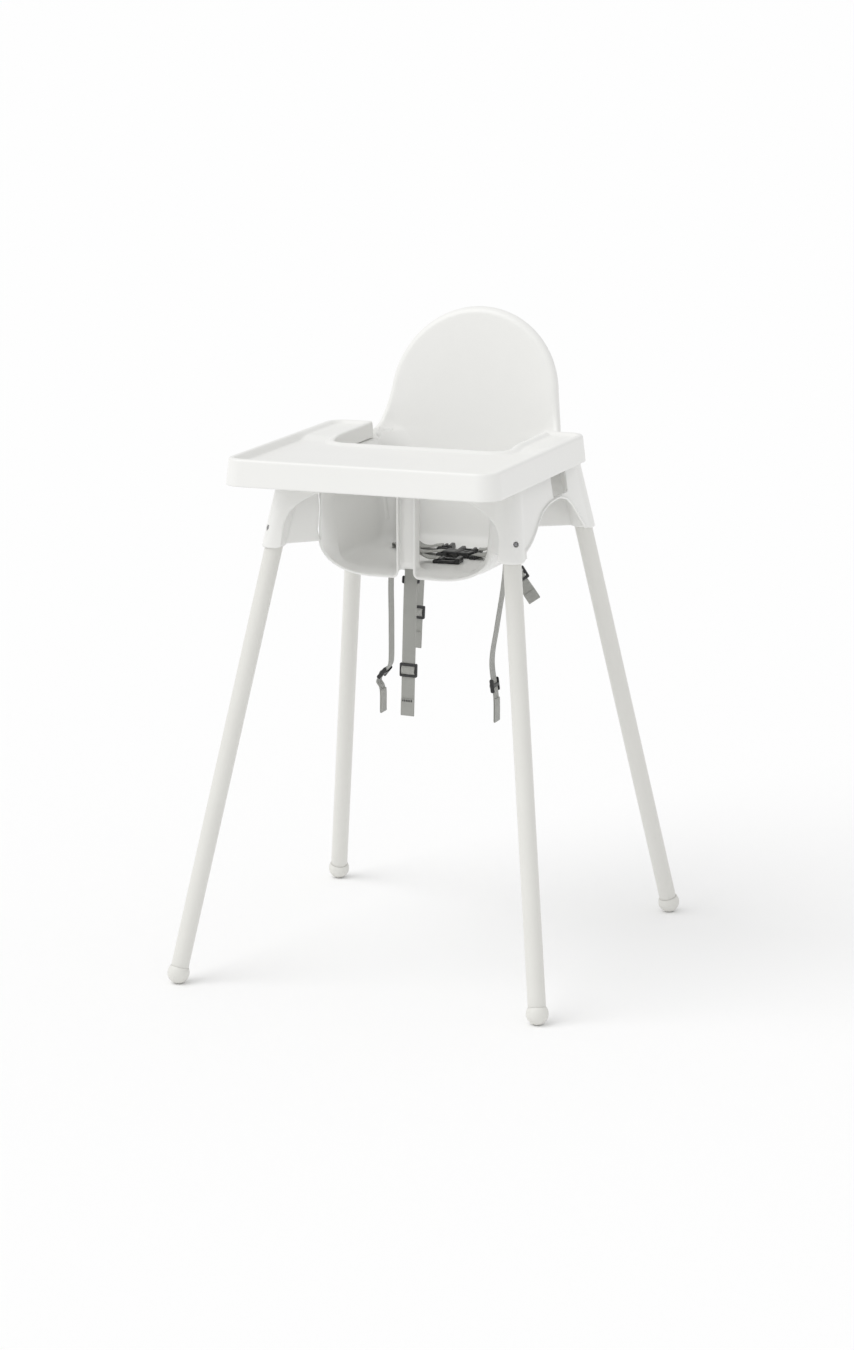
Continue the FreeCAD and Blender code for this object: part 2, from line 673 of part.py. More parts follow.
SHOULDER_LEFT_STRAP = [
    ((-86, 158, 403), X_WAY), ((-81, 158, 510), None), ((-83, 160, 580), None), ((-87, 158, 635), None),
    ((-87, 150, 652), X_WAY), ((-87, 141, 659), X_WAY), ((-87, 129, 660), X_WAY), ((-87, 122, 652), X_WAY),
    ((-85, 116, 630), X_WAY), ((-80, 107, 604), (1, 0, 0.05)), ((-76, 100, 587), (0.95, 0.2, 0.1)),
    ((-70, 95, 578), (0.8, 0.5, 0.15)), ((-60, 88.5, 571.6), (0.6, 0.8, 0.1)), ((-49, 83, 568.9), (0.45, 0.9, 0)),
    ((-38, 79, 568.8), (0.2, 1, 0)), ((-29, 76.2, 570.2), (0, 1, 0)), ((-22.5, 77, 571.7), (-0.1, 1, 0)),
    ((-17.5, 78.1, 572.3), (-0.13, 1, 0)), ((-12.4, 79, 572.3), (-0.14, 1, 0)),
]
SHOULDER_RIGHT_STRAP = [
    ((99, 158, 485.5), (0.82, 0, 0.57)), ((67.7, 158, 530.65), None), ((66, 159, 546), None),
    ((71, 160, 580), None), ((80, 160, 612), None), ((87, 158, 637), X_WAY), ((87, 150, 652), X_WAY),
    ((87, 141, 659), X_WAY), ((87, 129, 660), X_WAY), ((87, 122, 652), X_WAY), ((85, 116, 630), X_WAY),
    ((82, 107, 604), X_WAY), ((80, 101, 591), (1, -0.1, -0.1)), ((77, 95, 583), (0.95, -0.4, 0)),
    ((71, 88, 578.5), (0.8, -0.7, 0.1)), ((65.5, 79, 575.5), (0.5, -0.85, 0.1)), ((60, 72.3, 573.6), (0.3, -0.95, 0.05)),
    ((54, 67.7, 572.5), (0.12, -1, 0)), ((47.5, 65.8, 572.4), (0.1, -1, 0)),
]
HARNESS = {
    "crotch_strap": CROTCH_STRAP,
    "waist_strap_left": WAIST_LEFT_STRAP,
    "waist_strap_right": WAIST_RIGHT_STRAP,
    "shoulder_strap_left": SHOULDER_LEFT_STRAP,
    "shoulder_strap_right": SHOULDER_RIGHT_STRAP,
}


# ---------------------------------------------------------------- sliders
def rectangle_sketch(body, plane, name, length, width, shift):
    """Rectangle centred on the Y axis, its middle lifted along Y; sizes bound to the sheet."""
    sketch = body.newObject("Sketcher::SketchObject", name)
    sketch.AttachmentSupport = [(plane, "")]
    sketch.MapMode = "FlatFace"
    corners = [Vector(-5, -5, 0), Vector(5, -5, 0), Vector(5, 5, 0), Vector(-5, 5, 0)]
    for index in range(4):
        sketch.addGeometry(Part.LineSegment(corners[index], corners[(index + 1) % 4]))
    for index in range(4):
        sketch.addConstraint(Sketcher.Constraint("Coincident", index, 2, (index + 1) % 4, 1))
    for index in (0, 2):
        sketch.addConstraint(Sketcher.Constraint("Horizontal", index))
    for index in (1, 3):
        sketch.addConstraint(Sketcher.Constraint("Vertical", index))
    rules = [
        (Sketcher.Constraint("DistanceX", 0, 1, 0, 2, 10), length),
        (Sketcher.Constraint("DistanceY", 1, 1, 1, 2, 10), width),
        (Sketcher.Constraint("DistanceX", 0, 1, -1, 1, 5), f"({length}) / 2"),
        (Sketcher.Constraint("DistanceY", 0, 1, -1, 1, 5), f"({width}) / 2 - ({shift})"),
    ]
    for constraint, expression in rules:
        index = sketch.addConstraint(constraint)
        sketch.setExpression(f"Constraints[{index}]", expression)
    return sketch


def strap_frame(centre, up, across):
    """Placement on a strap: X across it, Y along it, Z out of its face."""
    up = Vector(*up).normalize()
    across = Vector(*across)
    across = (across - up * across.dot(up)).normalize()
    normal = across.cross(up)
    return Placement(FreeCAD.Matrix(
        across.x, up.x, normal.x, centre[0],
        across.y, up.y, normal.y, centre[1],
        across.z, up.z, normal.z, centre[2],
        0, 0, 0, 1,
    ))


def make_slider(label, centre, up, across, length="Sizes.slider_length", width="Sizes.slider_width",
                open_front=False):
    """Tri-glide: end bars in front of the strap, a middle bar behind it, side rails at its edges.

    With an open front there are no end bars, and the back is one plain plate."""
    body = doc.addObject("PartDesign::Body", label)
    planes = {item.Role: item for item in body.Origin.OriginFeatures}
    plane = planes["XY_Plane"]
    inside = f"{length} - 2 * Sizes.slider_rail"
    bars = f"{width} + 1" if open_front else f"{width} - 2 * Sizes.slider_bar"

    plate = body.newObject("PartDesign::Pad", f"{label}_plate")
    plate.Profile = rectangle_sketch(body, plane, f"{label}_outline", length, width, "0")
    plate.setExpression("Length", "Sizes.slider_thickness")
    plate.Midplane = True

    channel = body.newObject("PartDesign::Pocket", f"{label}_channel")
    channel.Profile = rectangle_sketch(body, plane, f"{label}_strap_way", inside, f"{width} + 1", "0")
    channel.setExpression("Length", "Sizes.slider_channel")
    channel.Midplane = True

    window = body.newObject("PartDesign::Pocket", f"{label}_window")
    window.Profile = rectangle_sketch(body, plane, f"{label}_front_window", inside, bars, "0")
    window.setExpression("Length", "Sizes.slider_thickness")
    window.Reversed = True

    gap = f"({width} - Sizes.slider_middle_bar) / 2"
    back_gaps = () if open_front else (("low", "-1"), ("high", "1"))
    for side, sign in back_gaps:
        shift = f"{sign} * ({width} + Sizes.slider_middle_bar) / 4"
        cut = body.newObject("PartDesign::Pocket", f"{label}_back_{side}")
        cut.Profile = rectangle_sketch(body, plane, f"{label}_back_gap_{side}", inside, gap, shift)
        cut.setExpression("Length", "Sizes.slider_thickness")
        cut.Reversed = False
    doc.recompute()
    body.Placement = strap_frame(centre, up, across)
    return keep(body, label)


# ---------------------------------------------------------------- buckles
HALF_BUCKLE = size("buckle_width") / 2
TAIL_LENGTH = 9.0
TAIL_HEIGHT = 4.5
TAIL_BAR = 2.6
SEAT_TOP = FLOOR_BOTTOM + WALL


def rounded_block(x_low, x_high, half_y, z_low, z_high, radius):
    block = box(x_low, -half_y, z_low, x_high, half_y, z_high)
    return block.makeFillet(radius, block.Edges)


def strap_tail(x_end, way):
    """Low end of a buckle piece: a bar with a slot behind it that the strap's loop goes through."""
    x_in = x_end - way * TAIL_LENGTH
    x_low, x_high = sorted((x_in - way * 1.0, x_end))
    plate = rounded_block(x_low, x_high, HALF_BUCKLE, 0, TAIL_HEIGHT, 1.2)
    slot_low, slot_high = sorted((x_end - way * TAIL_BAR, x_end - way * (TAIL_LENGTH - 1)))
    return plate.cut(box(slot_low, 1.6 - HALF_BUCKLE, -1, slot_high, HALF_BUCKLE - 1.6, TAIL_HEIGHT + 1))


def seat_place(x, y, degrees):
    return Placement(Vector(x, y, SEAT_TOP + 0.3), Rotation(Vector(0, 0, 1), degrees))


def buckle_socket():
    """Female half: hollow block, open at its mouth (x = 0), with a window in each side."""
    length = size("buckle_socket_length")
    height = size("buckle_height")
    block = rounded_block(TAIL_LENGTH - length, 0, HALF_BUCKLE, 0, height, 2.0)
    cavity = box(TAIL_LENGTH - length + 3, 2.2 - HALF_BUCKLE, 2, 1, HALF_BUCKLE - 2.2, height - 2)
    windows = box(-17, -HALF_BUCKLE - 1, 2.6, -9, HALF_BUCKLE + 1, height - 2.6)
    return fuse_all([block, strap_tail(-length, -1)]).cut(cavity).cut(windows)


def buckle_tongue():
    """Male half: two sprung arms and a guide inside the socket, a pointed body, and a strap slot."""
    height = size("buckle_height")
    length = size("buckle_tongue_length")
    arm_out = HALF_BUCKLE - 2.5
    pieces = [rounded_block(0.3, length - TAIL_LENGTH - 2, HALF_BUCKLE - 0.5, 0.6, height - 0.6, 1.8)]
    for sign in (-1, 1):
        y_low, y_high = sorted((sign * arm_out, sign * (arm_out - 3.4)))
        pieces.append(box(-19, y_low, 2.4, 2, y_high, height - 2.4))
    pieces.append(box(-16, -1.5, 2.4, 2, 1.5, height - 2.4))
    pieces.append(strap_tail(length, 1))
    pieces.append(box(length - TAIL_LENGTH - 4, -HALF_BUCKLE + 3, 0.6, length - TAIL_LENGTH + 1,
                      HALF_BUCKLE - 3, TAIL_HEIGHT))
    return fuse_all(pieces)


def clip(length):
    """Flat buckle piece: strap tail, low middle with a slot, raised end. The tail is at x = 0."""
    height = size("clip_height")
    plate = rounded_block(TAIL_LENGTH - 1, length, HALF_BUCKLE, 0, TAIL_HEIGHT, 1.2)
    end = rounded_block(length - 6.5, length, HALF_BUCKLE, 0, height, 1.6)
    ridge = rounded_block(TAIL_LENGTH - 1, TAIL_LENGTH + 3.2, HALF_BUCKLE - 1.5, 1, height - 1, 1.2)
    slot = box(TAIL_LENGTH + 3.7, 5 - HALF_BUCKLE, -1, length - 6.8, HALF_BUCKLE - 5, height + 1)
    return fuse_all([strap_tail(0, -1), plate, end, ridge]).cut(slot)


# ---------------------------------------------------------------- build
feature("seat_shell", seat_shell())
feature("tray", tray())
for corner_name, corner_x, corner_y in CORNERS:
    make_leg(corner_name, corner_x, corner_y)
    make_foot(corner_name, corner_x, corner_y)
    make_button(corner_name, corner_x, corner_y)
    make_spring(corner_name, corner_x, corner_y)

for strap_name, stations in HARNESS.items():
    feature(strap_name, ribbon(stations))

make_slider("slider_crotch", (-1.293, -84, 424), (4, 0, 150), X_WAY)
make_slider("slider_waist_left", (-101.4, 76, 380.5), (18.2, 0, 22.6), (0, -1, 0))
make_slider("slider_waist_right", (68.18, 76, 374.7), (-6, 0, 50), (0, -1, 0))
make_slider("slider_shoulder_left", (-83.57, 158, 455), (5, 0, 107), X_WAY)
make_slider("slider_shoulder_right", (75.08, 158, 520), (-30.5, 0, 44), (0.82, 0, 0.57))
make_slider("crotch_stop", (0.6, -78.3, 551.5), (-0.8, 5.4, 17), X_WAY,
            length="Sizes.stop_length", width="Sizes.stop_width", open_front=True)

feature("buckle_socket", buckle_socket(), seat_place(33, 33, -7.3))
feature("buckle_tongue", buckle_tongue(), seat_place(33, 33, -7.3))
feature("crotch_clip", clip(size("crotch_clip_length")), seat_place(11.5, -14, 6))
feature("shoulder_clip_left", clip(size("left_clip_length")), seat_place(-18.3, 78.2, 8))
feature("shoulder_clip_right", clip(size("right_clip_length")), seat_place(50.5, 66, 186))

doc.recompute()
for item in doc.Objects:
    if "Invalid" in item.State or "Error" in item.State:
        raise RuntimeError(f"{item.Label} failed: {item.State}")
for node in nodes:
    if node.Shape.isNull() or not node.Shape.isValid():
        raise RuntimeError(f"{node.Label} has no valid shape")
    print(node.Label, len(node.Shape.Solids), round(node.Shape.Volume))
    node.Shape.exportStep(f"parts/{node.Label}.step")
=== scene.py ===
"""High chair: one moulded seat, a lift-off tray, four plug-in legs and a webbing harness.

Lengths are in millimetres until a mesh is made, and the chair stands on z = 0 and faces -Y.
Moulded parts are fields: functions of x, y and z that are negative inside the plastic.
"""
import math

import bmesh
import bpy
import numpy as np
from mathutils import Matrix, Vector


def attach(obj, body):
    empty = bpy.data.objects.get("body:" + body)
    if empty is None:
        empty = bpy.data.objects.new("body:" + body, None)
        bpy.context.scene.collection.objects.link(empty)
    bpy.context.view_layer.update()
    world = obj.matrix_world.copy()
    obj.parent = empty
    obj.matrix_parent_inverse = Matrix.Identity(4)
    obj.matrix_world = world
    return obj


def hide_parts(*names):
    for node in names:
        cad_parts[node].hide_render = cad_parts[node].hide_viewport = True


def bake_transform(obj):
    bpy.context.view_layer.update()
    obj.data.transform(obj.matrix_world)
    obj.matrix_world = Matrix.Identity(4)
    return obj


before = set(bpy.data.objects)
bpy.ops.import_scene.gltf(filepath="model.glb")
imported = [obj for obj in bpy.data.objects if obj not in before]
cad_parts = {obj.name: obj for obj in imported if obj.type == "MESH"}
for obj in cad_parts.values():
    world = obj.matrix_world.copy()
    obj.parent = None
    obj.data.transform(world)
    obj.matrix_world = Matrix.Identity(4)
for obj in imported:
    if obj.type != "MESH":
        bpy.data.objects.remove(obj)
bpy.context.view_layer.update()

MM = 0.001
ROOT = "frame"
CORNERS = (
    ("front_left", -1, -1),
    ("front_right", 1, -1),
    ("rear_left", -1, 1),
    ("rear_right", 1, 1),
)


# ---------------------------------------------------------------- fields
def inside_both(a, b, radius):
    """What is inside both fields, with its edge rounded."""
    corner = np.hypot(np.maximum(a + radius, 0), np.maximum(b + radius, 0))
    return np.minimum(np.maximum(a, b), -radius) + corner


def cut(a, b, radius):
    return inside_both(a, -b, radius)


def inside_either(a, b, radius):
    """Both fields joined, with a fillet where they meet."""
    corner = np.hypot(np.maximum(radius - a, 0), np.maximum(radius - b, 0))
    return np.maximum(np.minimum(a, b), radius) - corner


def skin(body, wall):
    """The outer wall of a body, open nowhere yet."""
    return np.maximum(body, -(body + wall))


def plate_outline(u, v, half_u, half_v, radius):
    """Rounded rectangle about the origin of u and v."""
    over_u = np.abs(u) - half_u + radius
    over_v = np.abs(v) - half_v + radius
    corner = np.hypot(np.maximum(over_u, 0), np.maximum(over_v, 0))
    return np.minimum(np.maximum(over_u, over_v), 0) + corner - radius


def rounded_box(x, y, z, halves, radius):
    over = [np.abs(value) - half + radius for value, half in zip((x, y, z), halves)]
    corner = np.sqrt(sum(np.maximum(value, 0) ** 2 for value in over))
    return np.minimum(np.maximum(np.maximum(over[0], over[1]), over[2]), 0) + corner - radius


def ease(value):
    """0 to 1, level at both ends."""
    value = np.clip(value, 0, 1)
    return value * value * (3 - 2 * value)


def curve(*points):
    """Smooth function through (place, value) points."""
    place, value = np.array(points, float).T
    slope = np.gradient(value, place)
    fine = np.linspace(place[0], place[-1], 400)
    span = np.clip(np.searchsorted(place, fine, side="right") - 1, 0, len(place) - 2)
    width = place[span + 1] - place[span]
    t = (fine - place[span]) / width
    made = (
        (2 * t**3 - 3 * t**2 + 1) * value[span]
        + (t**3 - 2 * t**2 + t) * width * slope[span]
        + (3 * t**2 - 2 * t**3) * value[span + 1]
        + (t**3 - t**2) * width * slope[span + 1]
    )
    return lambda at: np.interp(at, fine, made).astype(np.float32)


BLOCK = 8
SPREAD = 2.0  # how much faster than true distance a field may change
CHUNK = 1500


def in_chunks(field, points):
    """Field at each row of points, a part at a time."""
    size = CHUNK * BLOCK**3
    found = [field(*points[start:start + size].T) for start in range(0, len(points), size)]
    return np.concatenate(found)


def sample(field, low, high, step):
    """The field on a grid. Blocks that are clear of the surface get the value at their middle."""
    counts = np.ceil((high - low) / (step * BLOCK)).astype(int)
    corners = np.stack(np.meshgrid(*[np.arange(n) for n in counts], indexing="ij"), -1).reshape(-1, 3)
    middles = low + (corners + 0.5) * (BLOCK * step)
    middle_values = in_chunks(field, middles.astype(np.float32))
    reach = SPREAD * step * (BLOCK * math.sqrt(3) / 2 + 2)
    inner = np.arange(BLOCK)
    offsets = np.stack(np.meshgrid(inner, inner, inner, indexing="ij"), -1).reshape(-1, 3)
    blocks = np.repeat(middle_values[:, None], BLOCK**3, 1).astype(np.float32)
    near = np.flatnonzero(np.abs(middle_values) < reach)
    nodes = (corners[near][:, None] * BLOCK + offsets[None]).reshape(-1, 3)
    points = (low + nodes * step).astype(np.float32)
    blocks[near] = in_chunks(field, points).reshape(len(near), -1)
    grid = blocks.reshape(*counts, BLOCK, BLOCK, BLOCK).transpose(0, 3, 1, 4, 2, 5)
    return grid.reshape(counts * BLOCK)


def surface_net(values):
    """Vertices, in grid steps, and quads of the surface where a grid of values crosses zero."""
    inside = values < 0
    shape = np.array(values.shape)
    count = np.zeros(shape - 1, np.uint8)
    places = [(i, j, k) for i in (0, 1) for j in (0, 1) for k in (0, 1)]
    for place in places:
        part = tuple(slice(o, o + n - 1) for o, n in zip(place, shape))
        count += inside[part]
    cells = np.argwhere((count > 0) & (count < 8))
    corner_values = {p: values[tuple((cells + p).T)] for p in places}
    total = np.zeros((len(cells), 3))
    crossings = np.zeros(len(cells))
    for start in places:
        for axis in range(3):
            if start[axis]:
                continue
            end = tuple(1 if a == axis else o for a, o in enumerate(start))
            a, b = corner_values[start], corner_values[end]
            crosses = (a < 0) != (b < 0)
            share = np.where(crosses, a / np.where(crosses, a - b, 1), 0)
            for other in range(3):
                total[:, other] += crosses * (share if other == axis else start[other])
            crossings += crosses
    vertices = cells + total / crossings[:, None]

    strides = np.array([(shape[1] - 1) * (shape[2] - 1), shape[2] - 1, 1])
    cell_ids = cells @ strides
    quads = []
    for axis in range(3):
        side, up = np.eye(3, dtype=int)[(axis + 1) % 3], np.eye(3, dtype=int)[(axis + 2) % 3]
        low_part = tuple(slice(0, -1) if a == axis else slice(1, -1) for a in range(3))
        high_part = tuple(slice(1, None) if a == axis else slice(1, -1) for a in range(3))
        low_inside = inside[low_part]
        edges = np.argwhere(low_inside != inside[high_part])
        outward = low_inside[tuple(edges.T)]
        edges = edges + (1 - np.eye(3, dtype=int)[axis])
        around = [edges - side - up, edges - up, edges, edges - side]
        quad = np.stack([np.searchsorted(cell_ids, cell @ strides) for cell in around], -1)
        quad[~outward] = quad[~outward][:, ::-1]
        quads.append(quad)
    return vertices, np.concatenate(quads)


def settle(field, vertices, step):
    """Moves each vertex onto the surface, along the field's slope."""
    probe = 0.25 * step
    for _ in range(2):
        value = in_chunks(field, vertices.astype(np.float32))
        slope = []
        for axis in range(3):
            ahead, behind = vertices.copy(), vertices.copy()
            ahead[:, axis] += probe
            behind[:, axis] -= probe
            rise = in_chunks(field, ahead.astype(np.float32)) - in_chunks(field, behind.astype(np.float32))
            slope.append(rise / (2 * probe))
        slope = np.stack(slope, -1)
        steep = np.maximum((slope**2).sum(1), 0.3)
        move = -np.clip(value, -0.4 * step, 0.4 * step)[:, None] * slope / steep[:, None]
        vertices = vertices + move
    return vertices


def make_mesh(name, vertices, faces, place=None):
    """Object from millimetre vertices and faces of one size, or a list of faces."""
    mesh = bpy.data.meshes.new(name)
    if isinstance(faces, np.ndarray):
        corners = faces.shape[1]
        mesh.vertices.add(len(vertices))
        mesh.vertices.foreach_set("co", (np.asarray(vertices) * MM).astype(np.float32).ravel())
        mesh.loops.add(faces.size)
        mesh.loops.foreach_set("vertex_index", faces.astype(np.int32).ravel())
        mesh.polygons.add(len(faces))
        mesh.polygons.foreach_set("loop_start", np.arange(0, faces.size, corners, dtype=np.int32))
        mesh.update(calc_edges=True)
        mesh.validate()
    else:
        mesh.from_pydata([tuple(v * MM for v in vertex) for vertex in vertices], [], faces)
        shape = bmesh.new()
        shape.from_mesh(mesh)
        bmesh.ops.recalc_face_normals(shape, faces=shape.faces)
        shape.to_mesh(mesh)
        shape.free()
    if place is not None:
        mesh.transform(Matrix.Translation(place.translation * MM) @ place.to_3x3().to_4x4())
    mesh.shade_smooth()
    made = bpy.data.objects.new(name, mesh)
    bpy.context.scene.collection.objects.link(made)
    return made


def moulded(name, field, low, high, step, place=None):
    """Mesh of a field's surface inside a box."""
    low, high = np.array(low, float), np.array(high, float)
    vertices, quads = surface_net(sample(field, low, high, step))
    vertices = settle(field, low + vertices * step, step)
    return make_mesh(name, vertices, quads, place)


# ---------------------------------------------------------------- materials
class Nodes:
    """Short hand for a material's node tree."""

    def __init__(self, name):
        self.material = bpy.data.materials.new(name)
        self.material.use_nodes = True
        self.tree = self.material.node_tree
        self.shader = self.tree.nodes["Principled BSDF"]

    def add(self, kind, inputs=None, **settings):
        node = self.tree.nodes.new(kind)
        for key, value in settings.items():
            setattr(node, key, value)
        for key, value in (inputs or {}).items():
            if isinstance(value, bpy.types.NodeSocket):
                self.tree.links.new(value, node.inputs[key])
            else:
                node.inputs[key].default_value = value
        return node

    def math(self, operation, a, b=0.0):
        return self.add("ShaderNodeMath", {0: a, 1: b}, operation=operation).outputs[0]

    def noise(self, vector, scale, detail=4.0):
        node = self.add("ShaderNodeTexNoise", {"Vector": vector, "Scale": scale, "Detail": detail})
        return node.outputs["Fac"]

    def between(self, factor, dark, light):
        node = self.add("ShaderNodeMix", {"Factor": factor}, data_type="RGBA")
        node.inputs[6].default_value = (*dark, 1)
        node.inputs[7].default_value = (*light, 1)
        return node.outputs[2]

    def remap(self, value, low, high):
        node = self.add("ShaderNodeMapRange", {"Value": value, "To Min": low, "To Max": high})
        return node.outputs[0]

    def place(self):
        return self.add("ShaderNodeTexCoord").outputs["Object"]

    def set(self, name, value):
        self.shader.inputs[name].default_value = value

    def finish(self, colour, roughness, height, depth):
        links = self.tree.links
        links.new(colour, self.shader.inputs["Base Color"])
        links.new(roughness, self.shader.inputs["Roughness"])
        bump = self.add("ShaderNodeBump", {"Height": height, "Strength": 1.0, "Distance": depth})
        links.new(bump.outputs[0], self.shader.inputs["Normal"])
        return self.material


def shade(colour, factor):
    return tuple(min(1.0, channel * factor) for channel in colour)


def moulded_plastic(name, colour, roughness, grain_mm, depth_mm, coat=0.0):
    """Injection-moulded plastic: fine grain, faint flow marks and handling sheen."""
    nodes = Nodes(name)
    place = nodes.place()
    flow = nodes.noise(place, 9.0, 3.0)
    grain = nodes.noise(place, 1000.0 / grain_mm, 2.0)
    handled = nodes.noise(place, 38.0, 5.0)
    mixed = nodes.math("ADD", nodes.math("MULTIPLY", flow, 0.7), nodes.math("MULTIPLY", handled, 0.3))
    tint = nodes.between(mixed, shade(colour, 0.972), shade(colour, 1.018))
    rough = nodes.remap(handled, roughness - 0.05, roughness + 0.06)
    nodes.set("IOR", 1.49)
    nodes.set("Coat Weight", coat)
    nodes.set("Coat Roughness", 0.25)
    return nodes.finish(tint, rough, grain, depth_mm * MM)


def powder_coat(name, colour):
    """Baked powder on steel tube: slight orange peel and a soft gloss."""
    nodes = Nodes(name)
    place = nodes.place()
    peel = nodes.noise(place, 900.0, 3.0)
    cloud = nodes.noise(place, 14.0, 4.0)
    tint = nodes.between(cloud, shade(colour, 0.975), shade(colour, 1.02))
    rough = nodes.remap(nodes.noise(place, 60.0), 0.30, 0.42)
    nodes.set("Coat Weight", 0.15)
    nodes.set("Coat Roughness", 0.2)
    return nodes.finish(tint, rough, peel, 0.05 * MM)


def brushed_metal(name, colour):
    nodes = Nodes(name)
    place = nodes.place()
    stretched = nodes.add("ShaderNodeMapping", {"Vector": place, "Scale": (300.0, 300.0, 4000.0)})
    lines = nodes.noise(stretched.outputs[0], 1.0, 3.0)
    tint = nodes.between(lines, shade(colour, 0.85), shade(colour, 1.1))
    nodes.set("Metallic", 1.0)
    return nodes.finish(tint, nodes.remap(lines, 0.22, 0.4), lines, 0.02 * MM)


RIBS_ACROSS = 15
PICK_MM = 1.3


def webbing_cloth(name, colour):
    """Woven webbing: cords along the strap that pass over and under the weft, in UV millimetres, with
    painted shade in the grooves and painted light on the cord tops.
    """
    nodes = Nodes(name)
    place = nodes.add("ShaderNodeUVMap", uv_map="shaded_weave").outputs[0]
    split = nodes.add("ShaderNodeSeparateXYZ", {0: place})
    across = nodes.math("MULTIPLY", split.outputs[0], RIBS_ACROSS / 20.0)
    along = nodes.math("MULTIPLY", split.outputs[1], 1.0 / PICK_MM)
    cord = nodes.math("FLOOR", across)
    rib = nodes.math("SINE", nodes.math("MULTIPLY", nodes.math("FRACT", across), math.pi))
    shift = nodes.math("MULTIPLY", nodes.math("MODULO", cord, 2.0), 0.5)
    wave = nodes.math("FRACT", nodes.math("ADD", along, shift))
    over = nodes.math("SINE", nodes.math("MULTIPLY", wave, math.pi))
    height = nodes.math("MULTIPLY", rib, nodes.math("ADD", nodes.math("MULTIPLY", over, 0.6), 0.4))
    fibre = nodes.noise(nodes.place(), 2600.0, 3.0)
    fade = nodes.noise(nodes.place(), 45.0, 3.0)
    # painted shade and light: the colour is darker down in the grooves between cords and lighter on the cord
    # tops
    shaded_weave = nodes.between(height, shade(colour, 0.62), shade(colour, 1.12))
    spread = nodes.remap(nodes.math("MULTIPLY", fibre, fade), 0.86, 1.1)
    mixed = nodes.add("ShaderNodeMix", {"Factor": 1.0}, data_type="RGBA", blend_type="MULTIPLY")
    nodes.tree.links.new(shaded_weave, mixed.inputs[6])
    nodes.tree.links.new(spread, mixed.inputs[7])
    nodes.set("Sheen Weight", 0.25)
    nodes.set("Sheen Roughness", 0.5)
    nodes.set("IOR", 1.4)
    rough = nodes.remap(height, 0.85, 0.62)
    return nodes.finish(mixed.outputs[2], rough, height, 0.25 * MM)


WHITE = (0.848, 0.847, 0.826)
SEAT_WHITE = moulded_plastic("seat_white", WHITE, 0.36, 0.9, 0.02, 0.1)
TRAY_WHITE = moulded_plastic("tray_white", WHITE, 0.34, 0.9, 0.02, 0.1)
FOOT_WHITE = moulded_plastic("foot_white", (0.74, 0.735, 0.70), 0.45, 0.7, 0.03)
LEG_WHITE = powder_coat("leg_white", (0.735, 0.73, 0.695))
BLACK = moulded_plastic("buckle_black", (0.022, 0.022, 0.023), 0.38, 0.6, 0.03)
GREY_WEB = webbing_cloth("grey_webbing", (0.455, 0.458, 0.43))
# painted shade: the steel colour is darkened to stand in for the shadow in the gap round each leg button,
# and the springs share it
SHADED_STEEL = brushed_metal("button_steel_painted_shade", (0.30, 0.30, 0.31))
BLACK_THREAD = moulded_plastic("black_thread", (0.02, 0.02, 0.02), 0.7, 0.25, 0.05)
GREY_THREAD = moulded_plastic("grey_thread", (0.42, 0.42, 0.40), 0.75, 0.25, 0.05)


def dress(piece, material, body, slot, *nodes):
    """Gives a piece its material, its body and the CAD nodes it stands for. The slot argument is not used.
    """
    piece.data.materials.clear()
    piece.data.materials.append(material)
    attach(piece, body)
    if nodes:
        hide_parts(*nodes)
    return piece


def repaint(node, material):
    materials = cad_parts[node].data.materials
    for index in range(max(1, len(materials))):
        if index < len(materials):
            materials[index] = material
        else:
            materials.append(material)


# ---------------------------------------------------------------- legs' lines
FOOT = np.array([265.0, 292.5, 15.0])
LEG_AXIS = np.array([-0.15320, -0.24507, 1.0])
LEG_AXIS = LEG_AXIS / np.linalg.norm(LEG_AXIS)
BUTTON_OUT = np.array([1.0, 1.0, 0.0])
BUTTON_OUT = BUTTON_OUT - LEG_AXIS * (BUTTON_OUT @ LEG_AXIS)
BUTTON_OUT = BUTTON_OUT / np.linalg.norm(BUTTON_OUT)
BUTTON_Z = 622.0


def leg_at(z):
    """Distances of a leg's middle line from x = 0 and y = 0 at a height."""
    rise = (z - FOOT[2]) / LEG_AXIS[2]
    return FOOT[0] + LEG_AXIS[0] * rise, FOOT[1] + LEG_AXIS[1] * rise


# ---------------------------------------------------------------- seat shell
WALL = 3.0
FLOOR_Z = 566.0
FLANGE_Z = 716.0
SOCKET_Z = 601.0
FRONT_INNER_Y = -84.0
LIP_Y = -97.0
RIM_DEPTH = 14.0
CAVITY_HALF = curve((560, 110), (583, 111), (640, 118), (716, 127), (722, 132), (728, 141), (736, 148),
                    (745, 151.5), (765, 157), (785, 164), (815, 175), (845, 188), (905, 208))
CAVITY_BACK = curve((560, 104), (583, 116), (640, 134.6), (716, 157.2), (770, 170.8), (840, 185),
                    (905, 196.3))
BACK_CORNER = curve((560, 36), (640, 37), (716, 38), (760, 36), (905, 30))
BACK_BOW = curve((560, 3), (640, 7), (716, 9), (745, 11), (845, 11), (905, 9))
DOME_RADIUS = 127.0
DOME_Z = 773.0
BACK_HALF = curve((560, 150), (700, 152), (716, 147.5), (722, 142.5), (731, 138.3), (745, 134.3),
                  (765, 129.9), (785, 126.4), (800, 124.1), (805, 122.9))
WING_FRONT = curve((560, 122), (716, 122), (724, 128), (731, 134), (745, 143), (765, 147), (905, 147))
SIDE_ARCH = curve((-134, 611), (-106, 620), (-84, 631), (-60, 646), (-30, 656), (5, 660),
                  (45, 657), (72, 646), (96, 624), (122, 600))


